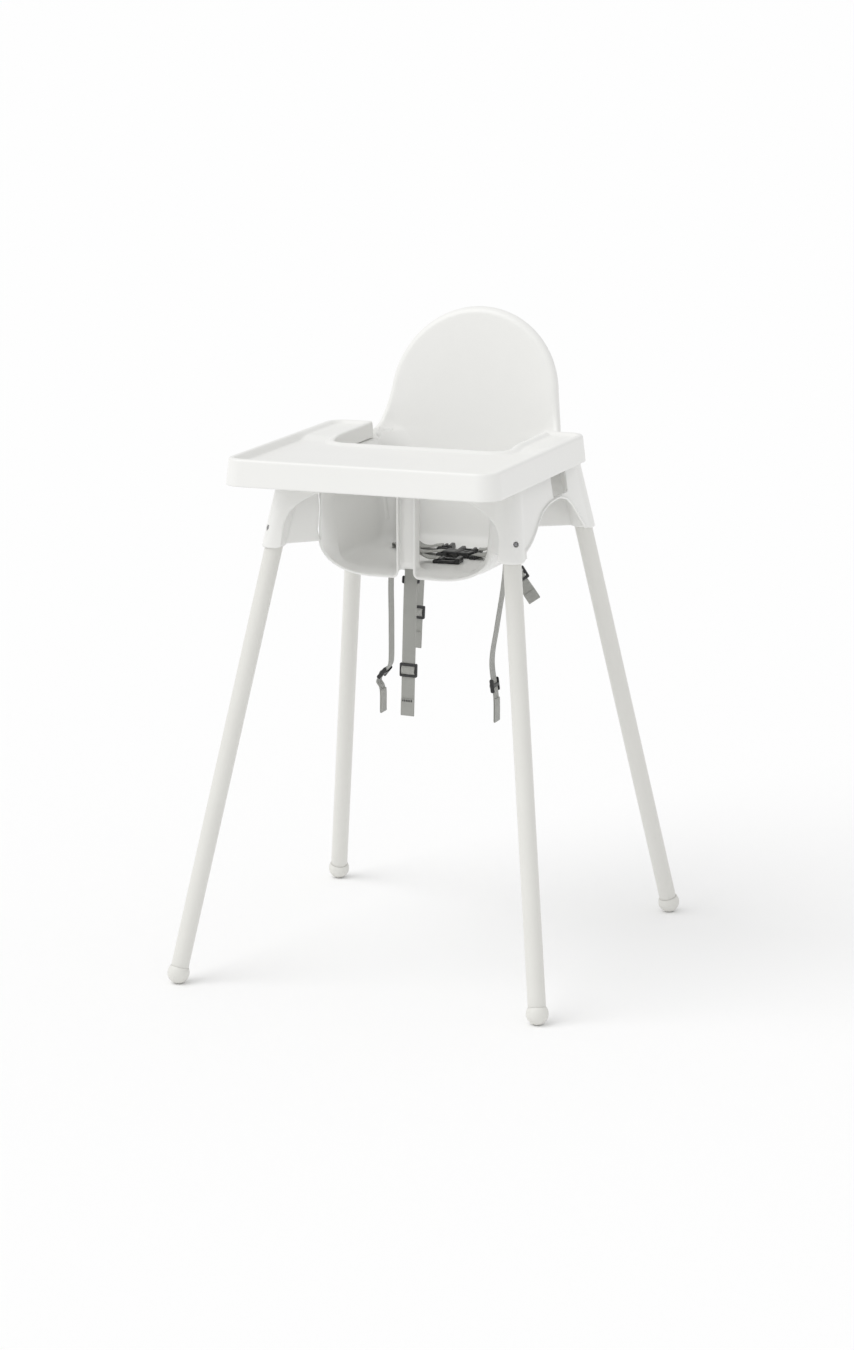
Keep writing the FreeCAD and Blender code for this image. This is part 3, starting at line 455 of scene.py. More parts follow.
def cavity(x, y, z):
    """Where the child sits, open upwards."""
    side = np.abs(x)
    half = CAVITY_HALF(z)
    back = CAVITY_BACK(z)
    middle = (back + FRONT_INNER_Y) / 2
    half_y = (back - FRONT_INNER_Y) / 2
    behind = np.clip((y - middle) / half_y, 0, 1)
    bowed = y + BACK_BOW(z) * (side / half) ** 2 * behind
    radius = np.where(y > middle, BACK_CORNER(z), 20)
    plan = plate_outline(x, bowed - middle, half, half_y, radius)
    return inside_both(plan, FLOOR_Z - z, 16)


def leg_envelope(x, y, z):
    """Block between the outer sides of the legs, up to the armrests."""
    leg_x, leg_y = leg_at(z)
    corner = 15.8 + 0.10 * np.maximum(z - SOCKET_Z, 0)
    plan = plate_outline(x, y, leg_x + 15.8, leg_y + 15.8, corner)
    return inside_both(plan * 0.98, z - FLANGE_Z, 4.5)


def back_envelope(x, y, z):
    """Bar along Y, endless backwards, with the backrest's round-topped outline."""
    dome = np.hypot(x, z - DOME_Z) - DOME_RADIUS
    sides = np.maximum(np.abs(x) - BACK_HALF(z), z - 800)
    return np.maximum(np.minimum(dome, sides), WING_FRONT(z) - y)


def front_arch(x, z):
    """Half ellipse between two legs, with upright sides below it."""
    half, rise, base = 159.0, 71.0, 626.0
    up = np.maximum(z - base, 0)
    ratio = np.hypot(x / half, up / rise)
    slope = np.maximum(np.hypot(x / half**2, up / rise**2), 1e-5)
    return ratio * (ratio - 1) / slope


def side_arch(y, z):
    return np.maximum((z - SIDE_ARCH(y)) * 0.93, np.abs(y + 6) - 128)


MOUTH_START_Y = -70.0  # where the openings start to flare
MOUTH_ARC = 0.88  # how far round a circle the flare goes, as a sine
MOUTH_HALF = 124.5
MOUTH_DROP = 6.0
POST_HALF = 16.3
POST_TAPER = 2.4


def leg_opening(x, y, z):
    """Opening for one leg and its flared mouth, the same on both sides."""
    side = np.abs(x)
    depth = np.clip((MOUTH_START_Y - y) / (MOUTH_START_Y - LIP_Y), 0, 1.1) * MOUTH_ARC
    arc_height = 1 - math.sqrt(1 - MOUTH_ARC**2)
    bend = (1 - np.sqrt(1 - depth**2)) / arc_height
    steep = depth / np.sqrt(1 - depth**2) * MOUTH_ARC / (MOUTH_START_Y - LIP_Y) / arc_height
    outer_start = np.minimum(CAVITY_HALF(z), 121)
    outer_growth = MOUTH_HALF - outer_start
    outer = (side - outer_start - outer_growth * bend) / np.sqrt(1 + (outer_growth * steep) ** 2)
    bottom = (FLOOR_Z - MOUTH_DROP * bend - z) / np.sqrt(1 + (MOUTH_DROP * steep) ** 2)
    inner = (POST_HALF - POST_TAPER * bend - side) / np.sqrt(1 + (POST_TAPER * steep) ** 2)
    mouth = inside_both(outer, bottom, 36)
    return inside_both(mouth, np.maximum(inner, z - 690), 5)


def leg_line_distance(x, y, z):
    """Distance from the nearest leg's middle line."""
    offset = (np.abs(x) - FOOT[0], np.abs(y) - FOOT[1], z - FOOT[2])
    along = sum(o * a for o, a in zip(offset, LEG_AXIS))
    return np.sqrt(np.maximum(sum(o * o for o in offset) - along**2, 0))


def button_line_distance(x, y, z):
    """Distance from the nearest snap button's axis, outside the leg."""
    leg_x, leg_y = leg_at(BUTTON_Z)
    offset = (np.abs(x) - leg_x, np.abs(y) - leg_y, z - BUTTON_Z)
    along = sum(o * a for o, a in zip(offset, BUTTON_OUT))
    distance = np.sqrt(np.maximum(sum(o * o for o in offset) - along**2, 0))
    return np.where(along > 8, distance, 50)


def radial_web(x, y, z, inner):
    """Upright plate from a leg socket in to the tub."""
    outer_x, outer_y = leg_at(SOCKET_Z)
    direction = np.array([inner[0] - outer_x, inner[1] - outer_y])
    direction = direction / np.linalg.norm(direction)
    offset = (np.abs(x) - outer_x, np.abs(y) - outer_y)
    across = offset[1] * direction[0] - offset[0] * direction[1]
    along = offset[0] * direction[0] + offset[1] * direction[1]
    length = math.hypot(inner[0] - outer_x, inner[1] - outer_y)
    plate = np.maximum(np.abs(across) - 1.25, np.abs(along - length / 2) - length / 2 - 4)
    upright = np.abs(z - (SOCKET_Z + FLANGE_Z) / 2) - (FLANGE_Z - SOCKET_Z - 2) / 2
    return np.maximum(plate, upright)


def strap_slots(x, y, z):
    """Slots for the five straps: one behind the post, one in each side and two in the back."""
    side = np.abs(x)
    crotch = rounded_box(x, y + 75, z - 564, (12, 2.5, 12), 2.4)
    waist = rounded_box(side - 84, y - 76, z - 564, (2.5, 12, 12), 2.4)
    shoulder = rounded_box(side - 87, y - 142, z - 660, (12, 30, 2.5), 2.4)
    return np.minimum(np.minimum(crotch, waist), shoulder)


def seat_field(x, y, z):
    hollow = cavity(x, y, z)
    legs = leg_envelope(x, y, z)
    outside = inside_either(legs, back_envelope(x, y, z), 10)
    body = inside_both(outside, -hollow, 9)
    shell = skin(body, WALL)

    # the backrest's rim is rolled back and ends behind the front surface
    behind = np.maximum(RIM_DEPTH - hollow, -legs - 1)
    shell = cut(shell, behind, 1.2)
    # the underside is open, and each apron is arched
    side_cut = side_arch(y, z)
    window = plate_outline(y - 36, z - 683.5, 31, 19.5, 5)
    front_cut = front_arch(x, z)
    under = np.minimum(np.minimum(side_cut, window), np.minimum(front_cut, z - SOCKET_Z - 1))
    shell = cut(shell, np.maximum(under, WALL + 1 - hollow), 1.2)
    bead = inside_both(np.abs(side_cut - 1.4) - 1.4, np.abs(legs + 0.9) - 2.3, 1.0)
    bead = np.maximum(np.maximum(bead, WALL + 1 - hollow), SOCKET_Z + 3 - z)
    shell = inside_either(shell, bead, 1.5)

    line = leg_line_distance(x, y, z)
    upright = np.abs(z - (SOCKET_Z + FLANGE_Z - 1) / 2) - (FLANGE_Z - 1 - SOCKET_Z) / 2
    shell = inside_either(shell, inside_both(line - 15.5, upright, 1.2), 7)
    for inner, half_space in (((96, 70), y), ((96, 96), -y)):
        web = np.maximum(np.maximum(radial_web(x, y, z, inner), half_space), legs + 1)
        shell = inside_either(shell, np.maximum(web, -hollow), 2.5)
    shell = cut(shell, np.maximum(line - 12.6, z - 706), 0.8)
    shell = cut(shell, button_line_distance(x, y, z) - 4.0, 0.5)

    mouth = leg_opening(x, y, z)
    lip = inside_both(mouth - WALL, np.abs(y - (LIP_Y - 1 - 72) / 2) - (-72 - LIP_Y + 1) / 2, 1.3)
    lip = np.maximum(lip, -hollow)
    shell = inside_either(shell, lip, 1.5)
    shell = cut(shell, np.maximum(mouth, np.abs(y + 91) - 21), 1.3)
    shell = cut(shell, strap_slots(x, y, z), 1.0)
    return shell


# ---------------------------------------------------------------- tray
TRAY_TOP = 740.8
TRAY_BOTTOM = 703.4
TRAY_HALF_X = 194.6
TRAY_FRONT = -275.7
TRAY_BACK = 109.2
TRAY_WALL = 2.8
TRAY_DRAFT = 4.2
CUTOUT_HALF = 131.0
CUTOUT_FRONT = -57.0


def cutout(x, y, z):
    """Room for the child, open at the back."""
    half_y = (TRAY_BACK + 60 - CUTOUT_FRONT) / 2
    middle = CUTOUT_FRONT + half_y
    spread = (TRAY_TOP - z) * 0.03
    return plate_outline(x, y - middle, CUTOUT_HALF - spread, half_y - spread, 26)


def tray_top(x, y):
    """Height and steepness of the upper face: deck, arms, rim and a low ridge round the cut-out."""
    middle = (TRAY_FRONT + TRAY_BACK) / 2
    inset = -plate_outline(x, y - middle, TRAY_HALF_X, TRAY_BACK - middle, 25)
    from_cutout = cutout(x, y, TRAY_TOP)
    deck = 731.5 + 4.6 * ease((y - CUTOUT_FRONT - 8) / 40)
    ridge = 3.6 * (1 - ease((from_cutout - 5.5) / 9))
    across_rim = np.clip((inset - 6.5) / 8, 0, 1)
    rim = (TRAY_TOP - deck) * (1 - ease(across_rim))
    steepness = (TRAY_TOP - deck) * 6 * across_rim * (1 - across_rim) / 8
    return deck + np.maximum(ridge, rim), np.sqrt(1 + steepness**2)


def tray_field(x, y, z):
    middle = (TRAY_FRONT + TRAY_BACK) / 2
    spread = TRAY_DRAFT * (TRAY_TOP - z) / (TRAY_TOP - TRAY_BOTTOM)
    plan = plate_outline(x, y - middle, TRAY_HALF_X + spread, TRAY_BACK - middle + spread, 26 + spread)
    height, stretch = tray_top(x, y)
    body = inside_both(plan, (z - height) / stretch, 3.6)
    hole = cutout(x, y, z)
    body = cut(body, hole, 3.0)
    shell = skin(body, TRAY_WALL)
    inner_skirt = np.maximum(hole - 14, z - FLANGE_Z - 0.6)
    rear_ends = np.maximum(np.maximum(np.abs(x) - 178, 95 - y), z - FLANGE_Z - 0.6)
    shell = cut(shell, np.minimum(np.minimum(inner_skirt, rear_ends), z - TRAY_BOTTOM), 1.1)
    for y_rib in (-110, -20, 70):
        rib = rounded_box(np.abs(x) - 187, y - y_rib, z - 721, (9.5, 1.3, 10.5), 0.8)
        shell = inside_either(shell, np.maximum(rib, body + 0.5), 1.5)
    return shell


SEAT_STEP = 1.3
TRAY_STEP = 1.25
seat = moulded("seat", seat_field, (-200, -186, 550), (200, 222, 910), SEAT_STEP)
dress(seat, SEAT_WHITE, ROOT, "seat_plastic", "seat_shell")
tray = moulded("tray_moulding", tray_field, (-206, -290, 696), (206, 122, 748), TRAY_STEP)
dress(tray, TRAY_WHITE, "tray", "tray_plastic", "tray")


# ---------------------------------------------------------------- legs and feet
def lathe(name, profile, origin, axis, turns=96):
    """Turned piece: profile is (radius, distance along the axis), from one end to the other."""
    axis = Vector(axis).normalized()
    across = axis.orthogonal().normalized()
    other = axis.cross(across)
    vertices, faces, rings = [], [], []
    for radius, along in profile:
        centre = Vector(origin) + axis * along
        if radius < 1e-6:
            rings.append([len(vertices)])
            vertices.append(centre)
            continue
        rings.append(list(range(len(vertices), len(vertices) + turns)))
        for turn in range(turns):
            angle = 2 * math.pi * turn / turns
            vertices.append(centre + (across * math.cos(angle) + other * math.sin(angle)) * radius)
    pairs = list(zip(rings, rings[1:]))
    if len(rings[0]) > 1 and len(rings[-1]) > 1:
        pairs.append((rings[-1], rings[0]))
    for low, high in pairs:
        for turn in range(turns):
            after = (turn + 1) % turns
            quad = [low[turn % len(low)], low[after % len(low)],
                    high[after % len(high)], high[turn % len(high)]]
            corners = list(dict.fromkeys(quad))
            if len(corners) > 2:
                faces.append(corners)
    return make_mesh(name, [tuple(v) for v in vertices], faces)


def arc_profile(centre_along, radius, start, end, steps):
    """Round stretch of a profile, by angle from the axis."""
    angles = np.radians(np.linspace(start, end, steps))
    return [(max(0.0, radius * math.sin(a)), centre_along - radius * math.cos(a)) for a in angles]


LEG_RADIUS = 12.4
LEG_WALL = 1.2
LEG_TOP_Z = 704.0
FOOT_RADIUS = 15.5
SEAT_OF_LEG = 8.0


def leg_profile():
    """Tube with its ends rounded over."""
    start = SEAT_OF_LEG
    end = (LEG_TOP_Z - FOOT[2]) / LEG_AXIS[2]
    inner, soft = LEG_RADIUS - LEG_WALL, 0.4
    outside = [(LEG_RADIUS - soft, start), (LEG_RADIUS - 0.1, start + 0.15), (LEG_RADIUS, start + soft)]
    outside += [(LEG_RADIUS, start + (end - start) * share) for share in (0.02, 0.25, 0.5, 0.75, 0.98)]
    outside += [(LEG_RADIUS, end - soft), (LEG_RADIUS - 0.1, end - 0.15), (LEG_RADIUS - soft, end)]
    return outside + [(inner, end), (inner, end - 1), (inner, start + 1), (inner, start)]


def foot_profile():
    """Ball, a short collar under the tube and a stem inside it."""
    ball = arc_profile(0, FOOT_RADIUS, 0, 121, 34)
    collar_radius, top = LEG_RADIUS - LEG_WALL - 0.15, 46.0
    collar = [(13.1, 8.4), (12.9, 7.9), (collar_radius, 7.9)]
    stem = [(collar_radius, 9), (collar_radius, 24), (collar_radius, top - 2),
            (collar_radius - 0.8, top - 0.6), (collar_radius - 2.2, top), (0, top)]
    return ball + collar + stem


def cut_round(piece, centre, direction, radius, length):
    """Drills a hole through a piece."""
    tool = lathe("drill", [(0, 0), (radius, 0), (radius, length), (0, length)], centre, direction, 40)
    drill = piece.modifiers.new("hole", "BOOLEAN")
    drill.operation = "DIFFERENCE"
    drill.solver = "EXACT"
    drill.object = tool
    graph = bpy.context.evaluated_depsgraph_get()
    made = bpy.data.meshes.new_from_object(piece.evaluated_get(graph))
    piece.modifiers.clear()
    piece.data = made
    bpy.data.objects.remove(tool)


def face_smooth(piece, degrees=35):
    """Smooth shading but for sharp edges."""
    piece.data.shade_smooth()
    piece.data.set_sharp_from_angle(angle=math.radians(degrees))


for name, sign_x, sign_y in CORNERS:
    mirror = np.array([sign_x, sign_y, 1])
    foot_centre = FOOT * mirror
    axis = LEG_AXIS * mirror
    leg = lathe(f"tube_{name}", leg_profile(), foot_centre, axis)
    leg_x, leg_y = leg_at(BUTTON_Z)
    hole_centre = Vector((sign_x * leg_x, sign_y * leg_y, BUTTON_Z))
    cut_round(leg, hole_centre, BUTTON_OUT * mirror, 3.1, 20)
    face_smooth(leg)
    dress(leg, LEG_WHITE, ROOT, "leg_paint", f"leg_{name}")
    foot = lathe(f"ball_{name}", foot_profile(), foot_centre, axis)
    for vertex in foot.data.vertices:
        vertex.co.z = max(vertex.co.z, 0.0)
    face_smooth(foot, 30)
    dress(foot, FOOT_WHITE, ROOT, "foot_plastic", f"foot_{name}")
    # buttons and springs get the steel darkened as painted shade
    repaint(f"leg_button_{name}", SHADED_STEEL)
    repaint(f"leg_spring_{name}", SHADED_STEEL)


# ---------------------------------------------------------------- webbing
STRAP_WIDTH = 20.0
STRAP_THICKNESS = 1.4
X_WAY = (1, 0, 0)
Y_WAY = (0, 1, 0)
# each strap from its free end, below the seat, to its buckle on the seat:
# a point on its middle line, and the way across it or None where it keeps the last one
CROTCH_STRAP = [
    ((-3, -84, 360), X_WAY), ((-1.7, -84, 410), None), ((-0.4, -84, 460), None), ((1, -84, 510), X_WAY),
    ((1, -81, 543), X_WAY), ((0.2, -75.6, 560), X_WAY),
    ((0, -75, 567), X_WAY), ((0, -71, 579), (1, -0.15, 0)), ((-3, -61, 586), (0.85, -0.5, 0)),
    ((-6, -46, 586), (0.75, -0.65, 0)), ((-6, -34, 581), (0.6, -0.8, 0)),
    ((-2.5, -23, 576), (0.4, -0.9, 0)),
    ((4.5, -16.2, 573), (0.15, -1, 0)), ((11.5, -14.4, 572.4), (0.1, -1, 0)),
    ((17.5, -13.5, 572.4), (0.1, -1, 0)),
]
WAIST_LEFT_STRAP = [
    ((-104.4, 76, 322.7), Y_WAY), ((-105.5, 76, 359), None), ((-110, 76, 366.5), None),
    ((-109.3, 76, 370.7), None),
    ((-93.2, 76, 390.7), None), ((-91.6, 76, 394.5), None), ((-90.8, 76, 400), None),
    ((-90.4, 76, 459.7), None),
    ((-90.4, 76, 521.7), None), ((-87, 76, 548), None), ((-84, 76, 560), None), ((-84, 76, 567), Y_WAY),
    ((-81.5, 75, 572.3), None), ((-76.5, 71, 573.5), (0.3, 0.95, 0)), ((-66, 64, 570.5), (0.5, 0.87, 0)),
    ((-52, 56.5, 568.2), (0.5, 0.87, 0)), ((-37, 49.5, 567.6), (0.55, 0.83, 0)),
    ((-24, 43.5, 568.2), (0.45, 0.9, 0)),
    ((-13, 39, 570.2), (0.25, 0.97, 0)), ((-4, 37.8, 572.1), (0.14, 1, 0)),
    ((5.2, 36.6, 572.2), (0.13, 1, 0)),
]
WAIST_RIGHT_STRAP = [
    ((70.6, 76, 322.7), Y_WAY), ((70.1, 76, 358.7), None), ((64.1, 76, 408.7), None),
    ((71.6, 76, 460.7), None), ((80.6, 76, 516.7), None), ((84, 76, 547), None), ((84, 76, 567), Y_WAY),
    ((83.5, 75, 576), (0.15, 1, 0)), ((83, 71, 584), (0.5, 0.8, 0.1)), ((84, 62, 588), (0.9, 0.3, 0.2)),
    ((87, 54, 586.5), (0.9, 0.1, 0.4)), ((88.8, 46, 583.5), (0.6, 0.1, 0.8)),
    ((88.2, 39, 580.5), (0.2, 0.25, 0.95)),
    ((84.6, 33, 578), (0.1, 0.5, 0.85)), ((78, 28.6, 575.6), (0.12, 0.75, 0.6)),
    ((70.8, 27.3, 573.5), (0.13, 0.95, 0.2)),
    ((63.2, 28.4, 572.3), (0.13, 1, 0)), ((55, 29.6, 572.2), (0.13, 1, 0)),
]
SHOULDER_LEFT_STRAP = [
    ((-86, 158, 403), X_WAY), ((-84.3, 158, 440), None), ((-82.6, 158, 475), None),
    ((-81, 158, 510), None), ((-83, 160, 580), None), ((-87, 158, 635), None),
    ((-87, 150, 652), X_WAY), ((-87, 141, 659), X_WAY), ((-87, 129, 660), X_WAY), ((-87, 122, 652), X_WAY),
    ((-85, 116, 630), X_WAY), ((-80, 107, 604), (1, 0, 0.05)), ((-76, 100, 587), (0.95, 0.2, 0.1)),
    ((-70, 95, 578), (0.8, 0.5, 0.15)), ((-60, 88.5, 571.6), (0.6, 0.8, 0.1)),
    ((-49, 83, 568.9), (0.45, 0.9, 0)),
    ((-38, 79, 568.8), (0.2, 1, 0)), ((-29, 76.2, 570.2), (0, 1, 0)), ((-22.5, 77, 571.7), (-0.1, 1, 0)),
    ((-17.5, 78.1, 572.3), (-0.13, 1, 0)), ((-12.4, 79, 572.3), (-0.14, 1, 0)),
]
SHOULDER_RIGHT_STRAP = [
    ((99, 158, 485.5), (0.82, 0, 0.57)), ((67.7, 158, 530.65), None), ((66, 159, 546), None),
    ((71, 160, 580), None), ((80, 160, 612), None), ((87, 158, 637), X_WAY), ((87, 150, 652), X_WAY),
    ((87, 141, 659), X_WAY), ((87, 129, 660), X_WAY), ((87, 122, 652), X_WAY), ((85, 116, 630), X_WAY),
    ((82, 107, 604), X_WAY), ((80, 101, 591), (1, -0.1, -0.1)), ((77, 95, 583), (0.95, -0.4, 0)),
    ((71, 88, 578.5), (0.8, -0.7, 0.1)), ((65.5, 79, 575.5), (0.5, -0.85, 0.1)),
    ((60, 72.3, 573.6), (0.3, -0.95, 0.05)),
    ((54, 67.7, 572.5), (0.12, -1, 0)), ((47.5, 65.8, 572.4), (0.1, -1, 0)),
]
# name, stations, thread, length of the hem at the free end
HARNESS = (
    ("crotch_strap", CROTCH_STRAP, BLACK_THREAD, 23.5),
    ("waist_strap_left", WAIST_LEFT_STRAP, GREY_THREAD, 34.0),
    ("waist_strap_right", WAIST_RIGHT_STRAP, GREY_THREAD, 34.0),
    ("shoulder_strap_left", SHOULDER_LEFT_STRAP, GREY_THREAD, 23.0),
    ("shoulder_strap_right", SHOULDER_RIGHT_STRAP, GREY_THREAD, 14.0),
)


STRIP_CORNERS = 24  # in a strip's cross-section
STATION_STEP = 1.5  # distance between a strap's cross-sections
HEM_SIDE = -1  # the hem's second layer lies on this side of the strap


def unit(rows):
    return rows / np.linalg.norm(rows, axis=-1, keepdims=True)


def strap_line(stations):
    """Evenly spaced points on a strap's middle line, with the way along, across and out of each."""
    points = np.array([point for point, way in stations], float)
    ways, last = [], None
    for index, (point, way) in enumerate(stations):
        ahead = points[min(index + 1, len(points) - 1)]
        behind = points[max(index - 1, 0)]
        tangent = unit(ahead - behind)
        wanted = last if way is None else np.array(way, float)
        last = unit(wanted - tangent * (wanted @ tangent))
        ways.append(last)
    ways = np.array(ways)
    lengths = np.linalg.norm(np.diff(points, axis=0), axis=1)
    knots = np.concatenate([[0], np.cumsum(np.sqrt(lengths))])
    fine = np.linspace(0, knots[-1], 1200)
    line = np.stack([curve(*zip(knots, points[:, axis]))(fine) for axis in range(3)], -1).astype(float)
    travelled = np.concatenate([[0], np.cumsum(np.linalg.norm(np.diff(line, axis=0), axis=1))])
    count = int(travelled[-1] / STATION_STEP) + 1
    even = np.linspace(0, travelled[-1], count)
    line = np.stack([np.interp(even, travelled, line[:, axis]) for axis in range(3)], -1)
    place = np.interp(even, travelled, fine)
    across = np.stack([np.interp(place, knots, ways[:, axis]) for axis in range(3)], -1)
    along = unit(np.gradient(line, axis=0))
    across = unit(across - along * (across * along).sum(1, keepdims=True))
    return line, along, across, np.cross(along, across), travelled[-1]


def hemmed(line, across, out, hem):
    """Adds the folded end: a second layer lies on the strap and turns round its free end."""
    count = int(hem / STATION_STEP) + 1
    lift = STRAP_THICKNESS / 2 + 0.15
    layer = line[:count][::-1] + out[:count][::-1] * (2 * HEM_SIDE * lift)
    back = unit(line[0] - line[1])
    turn = [line[0] + out[0] * HEM_SIDE * lift * (1 + math.cos(a)) + back * lift * math.sin(a)
            for a in np.radians((30, 60, 90, 120, 150))]
    new_line = np.concatenate([layer, turn, line])
    new_across = np.concatenate([across[:count][::-1], np.repeat(across[:1], len(turn), 0), across])
    tangent = unit(np.gradient(new_line, axis=0))
    return new_line, new_across, np.cross(tangent, new_across)


def tube_faces(first, rows, ring):
    """Quads between rows of corners, and a face over each end."""
    faces = []
    for start in range(first, first + (rows - 1) * ring, ring):
        for turn in range(ring):
            after = (turn + 1) % ring
            faces.append([start + turn, start + after, start + ring + after, start + ring + turn])
    last = first + (rows - 1) * ring
    return faces + [list(range(first, first + ring))[::-1], list(range(last, last + ring))]


def strip(name, line, across, out, width, thickness):
    """Closed ribbon with rounded edges, and UVs in millimetres across and along it."""
    half, thin = width / 2, thickness / 2
    side = [(-half + 0.5, thin)] + [(half * share, thin) for share in np.linspace(-0.85, 0.85, 9)]
    side += [(half - 0.5, thin), (half - 0.12, 0.5 * thin)]
    section = side + [(-u, -v) for u, v in side]
    assert len(section) == STRIP_CORNERS
    vertices, marks = [], []
    travelled = np.concatenate([[0], np.cumsum(np.linalg.norm(np.diff(line, axis=0), axis=1))])
    for point, way, normal, run in zip(line, across, out, travelled):
        for u, v in section:
            vertices.append(point + way * u + normal * v)
            marks.append((u + half, run))
    made = make_mesh(name, [tuple(v) for v in vertices], tube_faces(0, len(line), STRIP_CORNERS))
    layer = made.data.uv_layers.new(name="shaded_weave")
    for loop in made.data.loops:
        layer.data[loop.index].uv = marks[loop.vertex_index]
    made.data.set_sharp_from_angle(angle=math.radians(60))
    return made


STITCH_PITCH = 2.6
STITCH_ROWS = 2


def stitches(name, line, along, across, out, at, thick):
    """Rows of thread across a strap, each stitch a small bead sunk in at its ends."""
    vertices, faces = [], []
    ring, steps = 8, 6
    count = int((STRAP_WIDTH - 3) / STITCH_PITCH)
    for row in range(STITCH_ROWS):
        spot = line[at + row]
        normal = out[at + row] * HEM_SIDE
        for index in range(count):
            centre = (index - (count - 1) / 2) * STITCH_PITCH
            first = len(vertices)
            for share in np.linspace(-1, 1, steps + 1):
                swell = math.sqrt(max(0.04, 1 - share**2))
                for turn in range(ring):
                    angle = 2 * math.pi * turn / ring
                    vertices.append(
                        spot + across[at] * (centre + share * STITCH_PITCH * 0.44)
                        + along[at] * (thick * swell * math.cos(angle))
                        + normal * (STRAP_THICKNESS * 1.5 + 0.32 + 0.32 * swell * math.sin(angle)
                                    - 0.25 * share**4)
                    )
            faces += tube_faces(first, steps + 1, ring)
    return make_mesh(name, [tuple(v) for v in vertices], faces)


for name, stations, thread, hem in HARNESS:
    line, along, across, out, length = strap_line(stations)
    full_line, full_across, full_out = hemmed(line, across, out, hem)
    strap = strip(f"{name}_web", full_line, full_across, full_out, STRAP_WIDTH, STRAP_THICKNESS)
    if name == "waist_strap_right":
        strap.data.materials.append(GREY_WEB)
        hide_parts(name)
        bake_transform(strap)
    else:
        dress(strap, GREY_WEB, ROOT, "webbing", name)
    thread_row = int((hem - 3) / STATION_STEP)
    thick = 0.9 if thread is BLACK_THREAD else 0.42
    seam = stitches(f"{name}_stitching", line, along, across, out, thread_row, thick)
    dress(seam, thread, ROOT, "webbing")


# ---------------------------------------------------------------- sliders
def strap_place(centre, up, across):
    """Frame on a strap: X across it, Y up along it, Z out of its face."""
    up, across = Vector(up).normalized(), Vector(across)
    across = (across - up * across.dot(up)).normalized()
    normal = across.cross(up)
    place = Matrix((across, up, normal)).transposed().to_4x4()
    place.translation = Vector(centre)
    return place


SLIDER_HALF = 13.0
SLIDER_RAIL = 2.6


def slider_field(half_x, half_y, open_front=False):
    """Tri-glide: end bars in front of the strap, a middle bar behind it, side rails at its edges.

    With an open front there are no end bars, and the back is one plain plate.
    """
    def field(x, y, z):
        block = rounded_box(x, y, z, (half_x, half_y, 3.2), 2.4)
        way = rounded_box(x, y, z, (half_x - SLIDER_RAIL, half_y + 3, 1.0), 0.6)
        reach = half_y + 3 if open_front else half_y - 3.8
        window = rounded_box(x, y, z - 4, (half_x - SLIDER_RAIL, reach, 4.6), 1.0)
        block = cut(cut(block, way, 0.4), window, 0.8)
        if open_front:
            return block
        gap = half_y / 2 + 2.25
        back = rounded_box(x, np.abs(y) - gap - 2, z + 4, (half_x - SLIDER_RAIL, gap - 0.5, 4.6), 1.0)
        return cut(block, back, 0.8)
    return field


HUMP_ROWS = 15


def web_hump(name, place, half_y, rise):
    """The strap's short stretch that bulges out of a slider, over its middle bar."""
    spots = np.linspace(-1, 1, HUMP_ROWS)
    centres = [place @ Vector((0, share * half_y, 1.1 + rise * math.cos(share * math.pi / 2) ** 0.8))
               for share in spots]
    line = np.array([tuple(c) for c in centres])
    across = np.repeat(np.array([tuple(place.to_3x3() @ Vector((1, 0, 0)))]), len(line), 0)
    out = np.cross(unit(np.gradient(line, axis=0)), across)
    return strip(name, line, across, -out, STRAP_WIDTH, 1.1)


SLIDERS = (
    ("slider_crotch", (-1.293, -84, 424), (4, 0, 150), X_WAY),
    ("slider_waist_left", (-101.4, 76, 380.5), (18.2, 0, 22.6), (0, -1, 0)),
    ("slider_waist_right", (68.18, 76, 374.7), (-6, 0, 50), (0, -1, 0)),
    ("slider_shoulder_left", (-83.57, 158, 455), (5, 0, 107), X_WAY),
    ("slider_shoulder_right", (75.08, 158, 520), (-30.5, 0, 44), (0.82, 0, 0.57)),
)
FINE = 0.35
for name, centre, up, across in SLIDERS:
    place = strap_place(centre, up, across)
    field = slider_field(SLIDER_HALF, 10.0)
    glide = moulded(f"{name}_glide", field, (-15, -12, -5), (15, 12, 5), FINE, place)
    dress(glide, BLACK, name, "buckle_plastic", name)
    hump = web_hump(f"{name}_web", place, 5.9, 2.8)
    dress(hump, GREY_WEB, name, "webbing")
    corner = [tuple(hump.data.vertices[i * STRIP_CORNERS].co) for i in range(HUMP_ROWS)]
    length = np.linalg.norm(np.diff(corner, axis=0), axis=1).sum()
stop_place = strap_place((0.6, -78.3, 551.5), (-0.8, 5.4, 17), X_WAY)
stop_field = slider_field(SLIDER_HALF, 5.5, True)
stop = moulded("crotch_stop_bar", stop_field, (-15, -8, -5), (15, 8, 5), FINE, stop_place)
dress(stop, BLACK, ROOT, "buckle_plastic", "crotch_stop")


# ---------------------------------------------------------------- buckles
HALF_BUCKLE = 12.5
TAIL = 9.0


def seat_place(x, y, degrees):
    return Matrix.Translation((x, y, FLOOR_Z + 0.3)) @ Matrix.Rotation(math.radians(degrees), 4, "Z")


def tail_field(x, y, z, x_end, way):
    """Bar and slot that the strap's loop goes through."""
    middle = x_end - way * TAIL / 2
    plate = rounded_box(x - middle, y, z - 2.25, (TAIL / 2 + 0.5, HALF_BUCKLE, 2.25), 1.2)
    slot = rounded_box(x - (x_end - way * 5.3), y, z - 2.25, (2.7, HALF_BUCKLE - 1.7, 6), 0.9)
    return cut(plate, slot, 0.6)


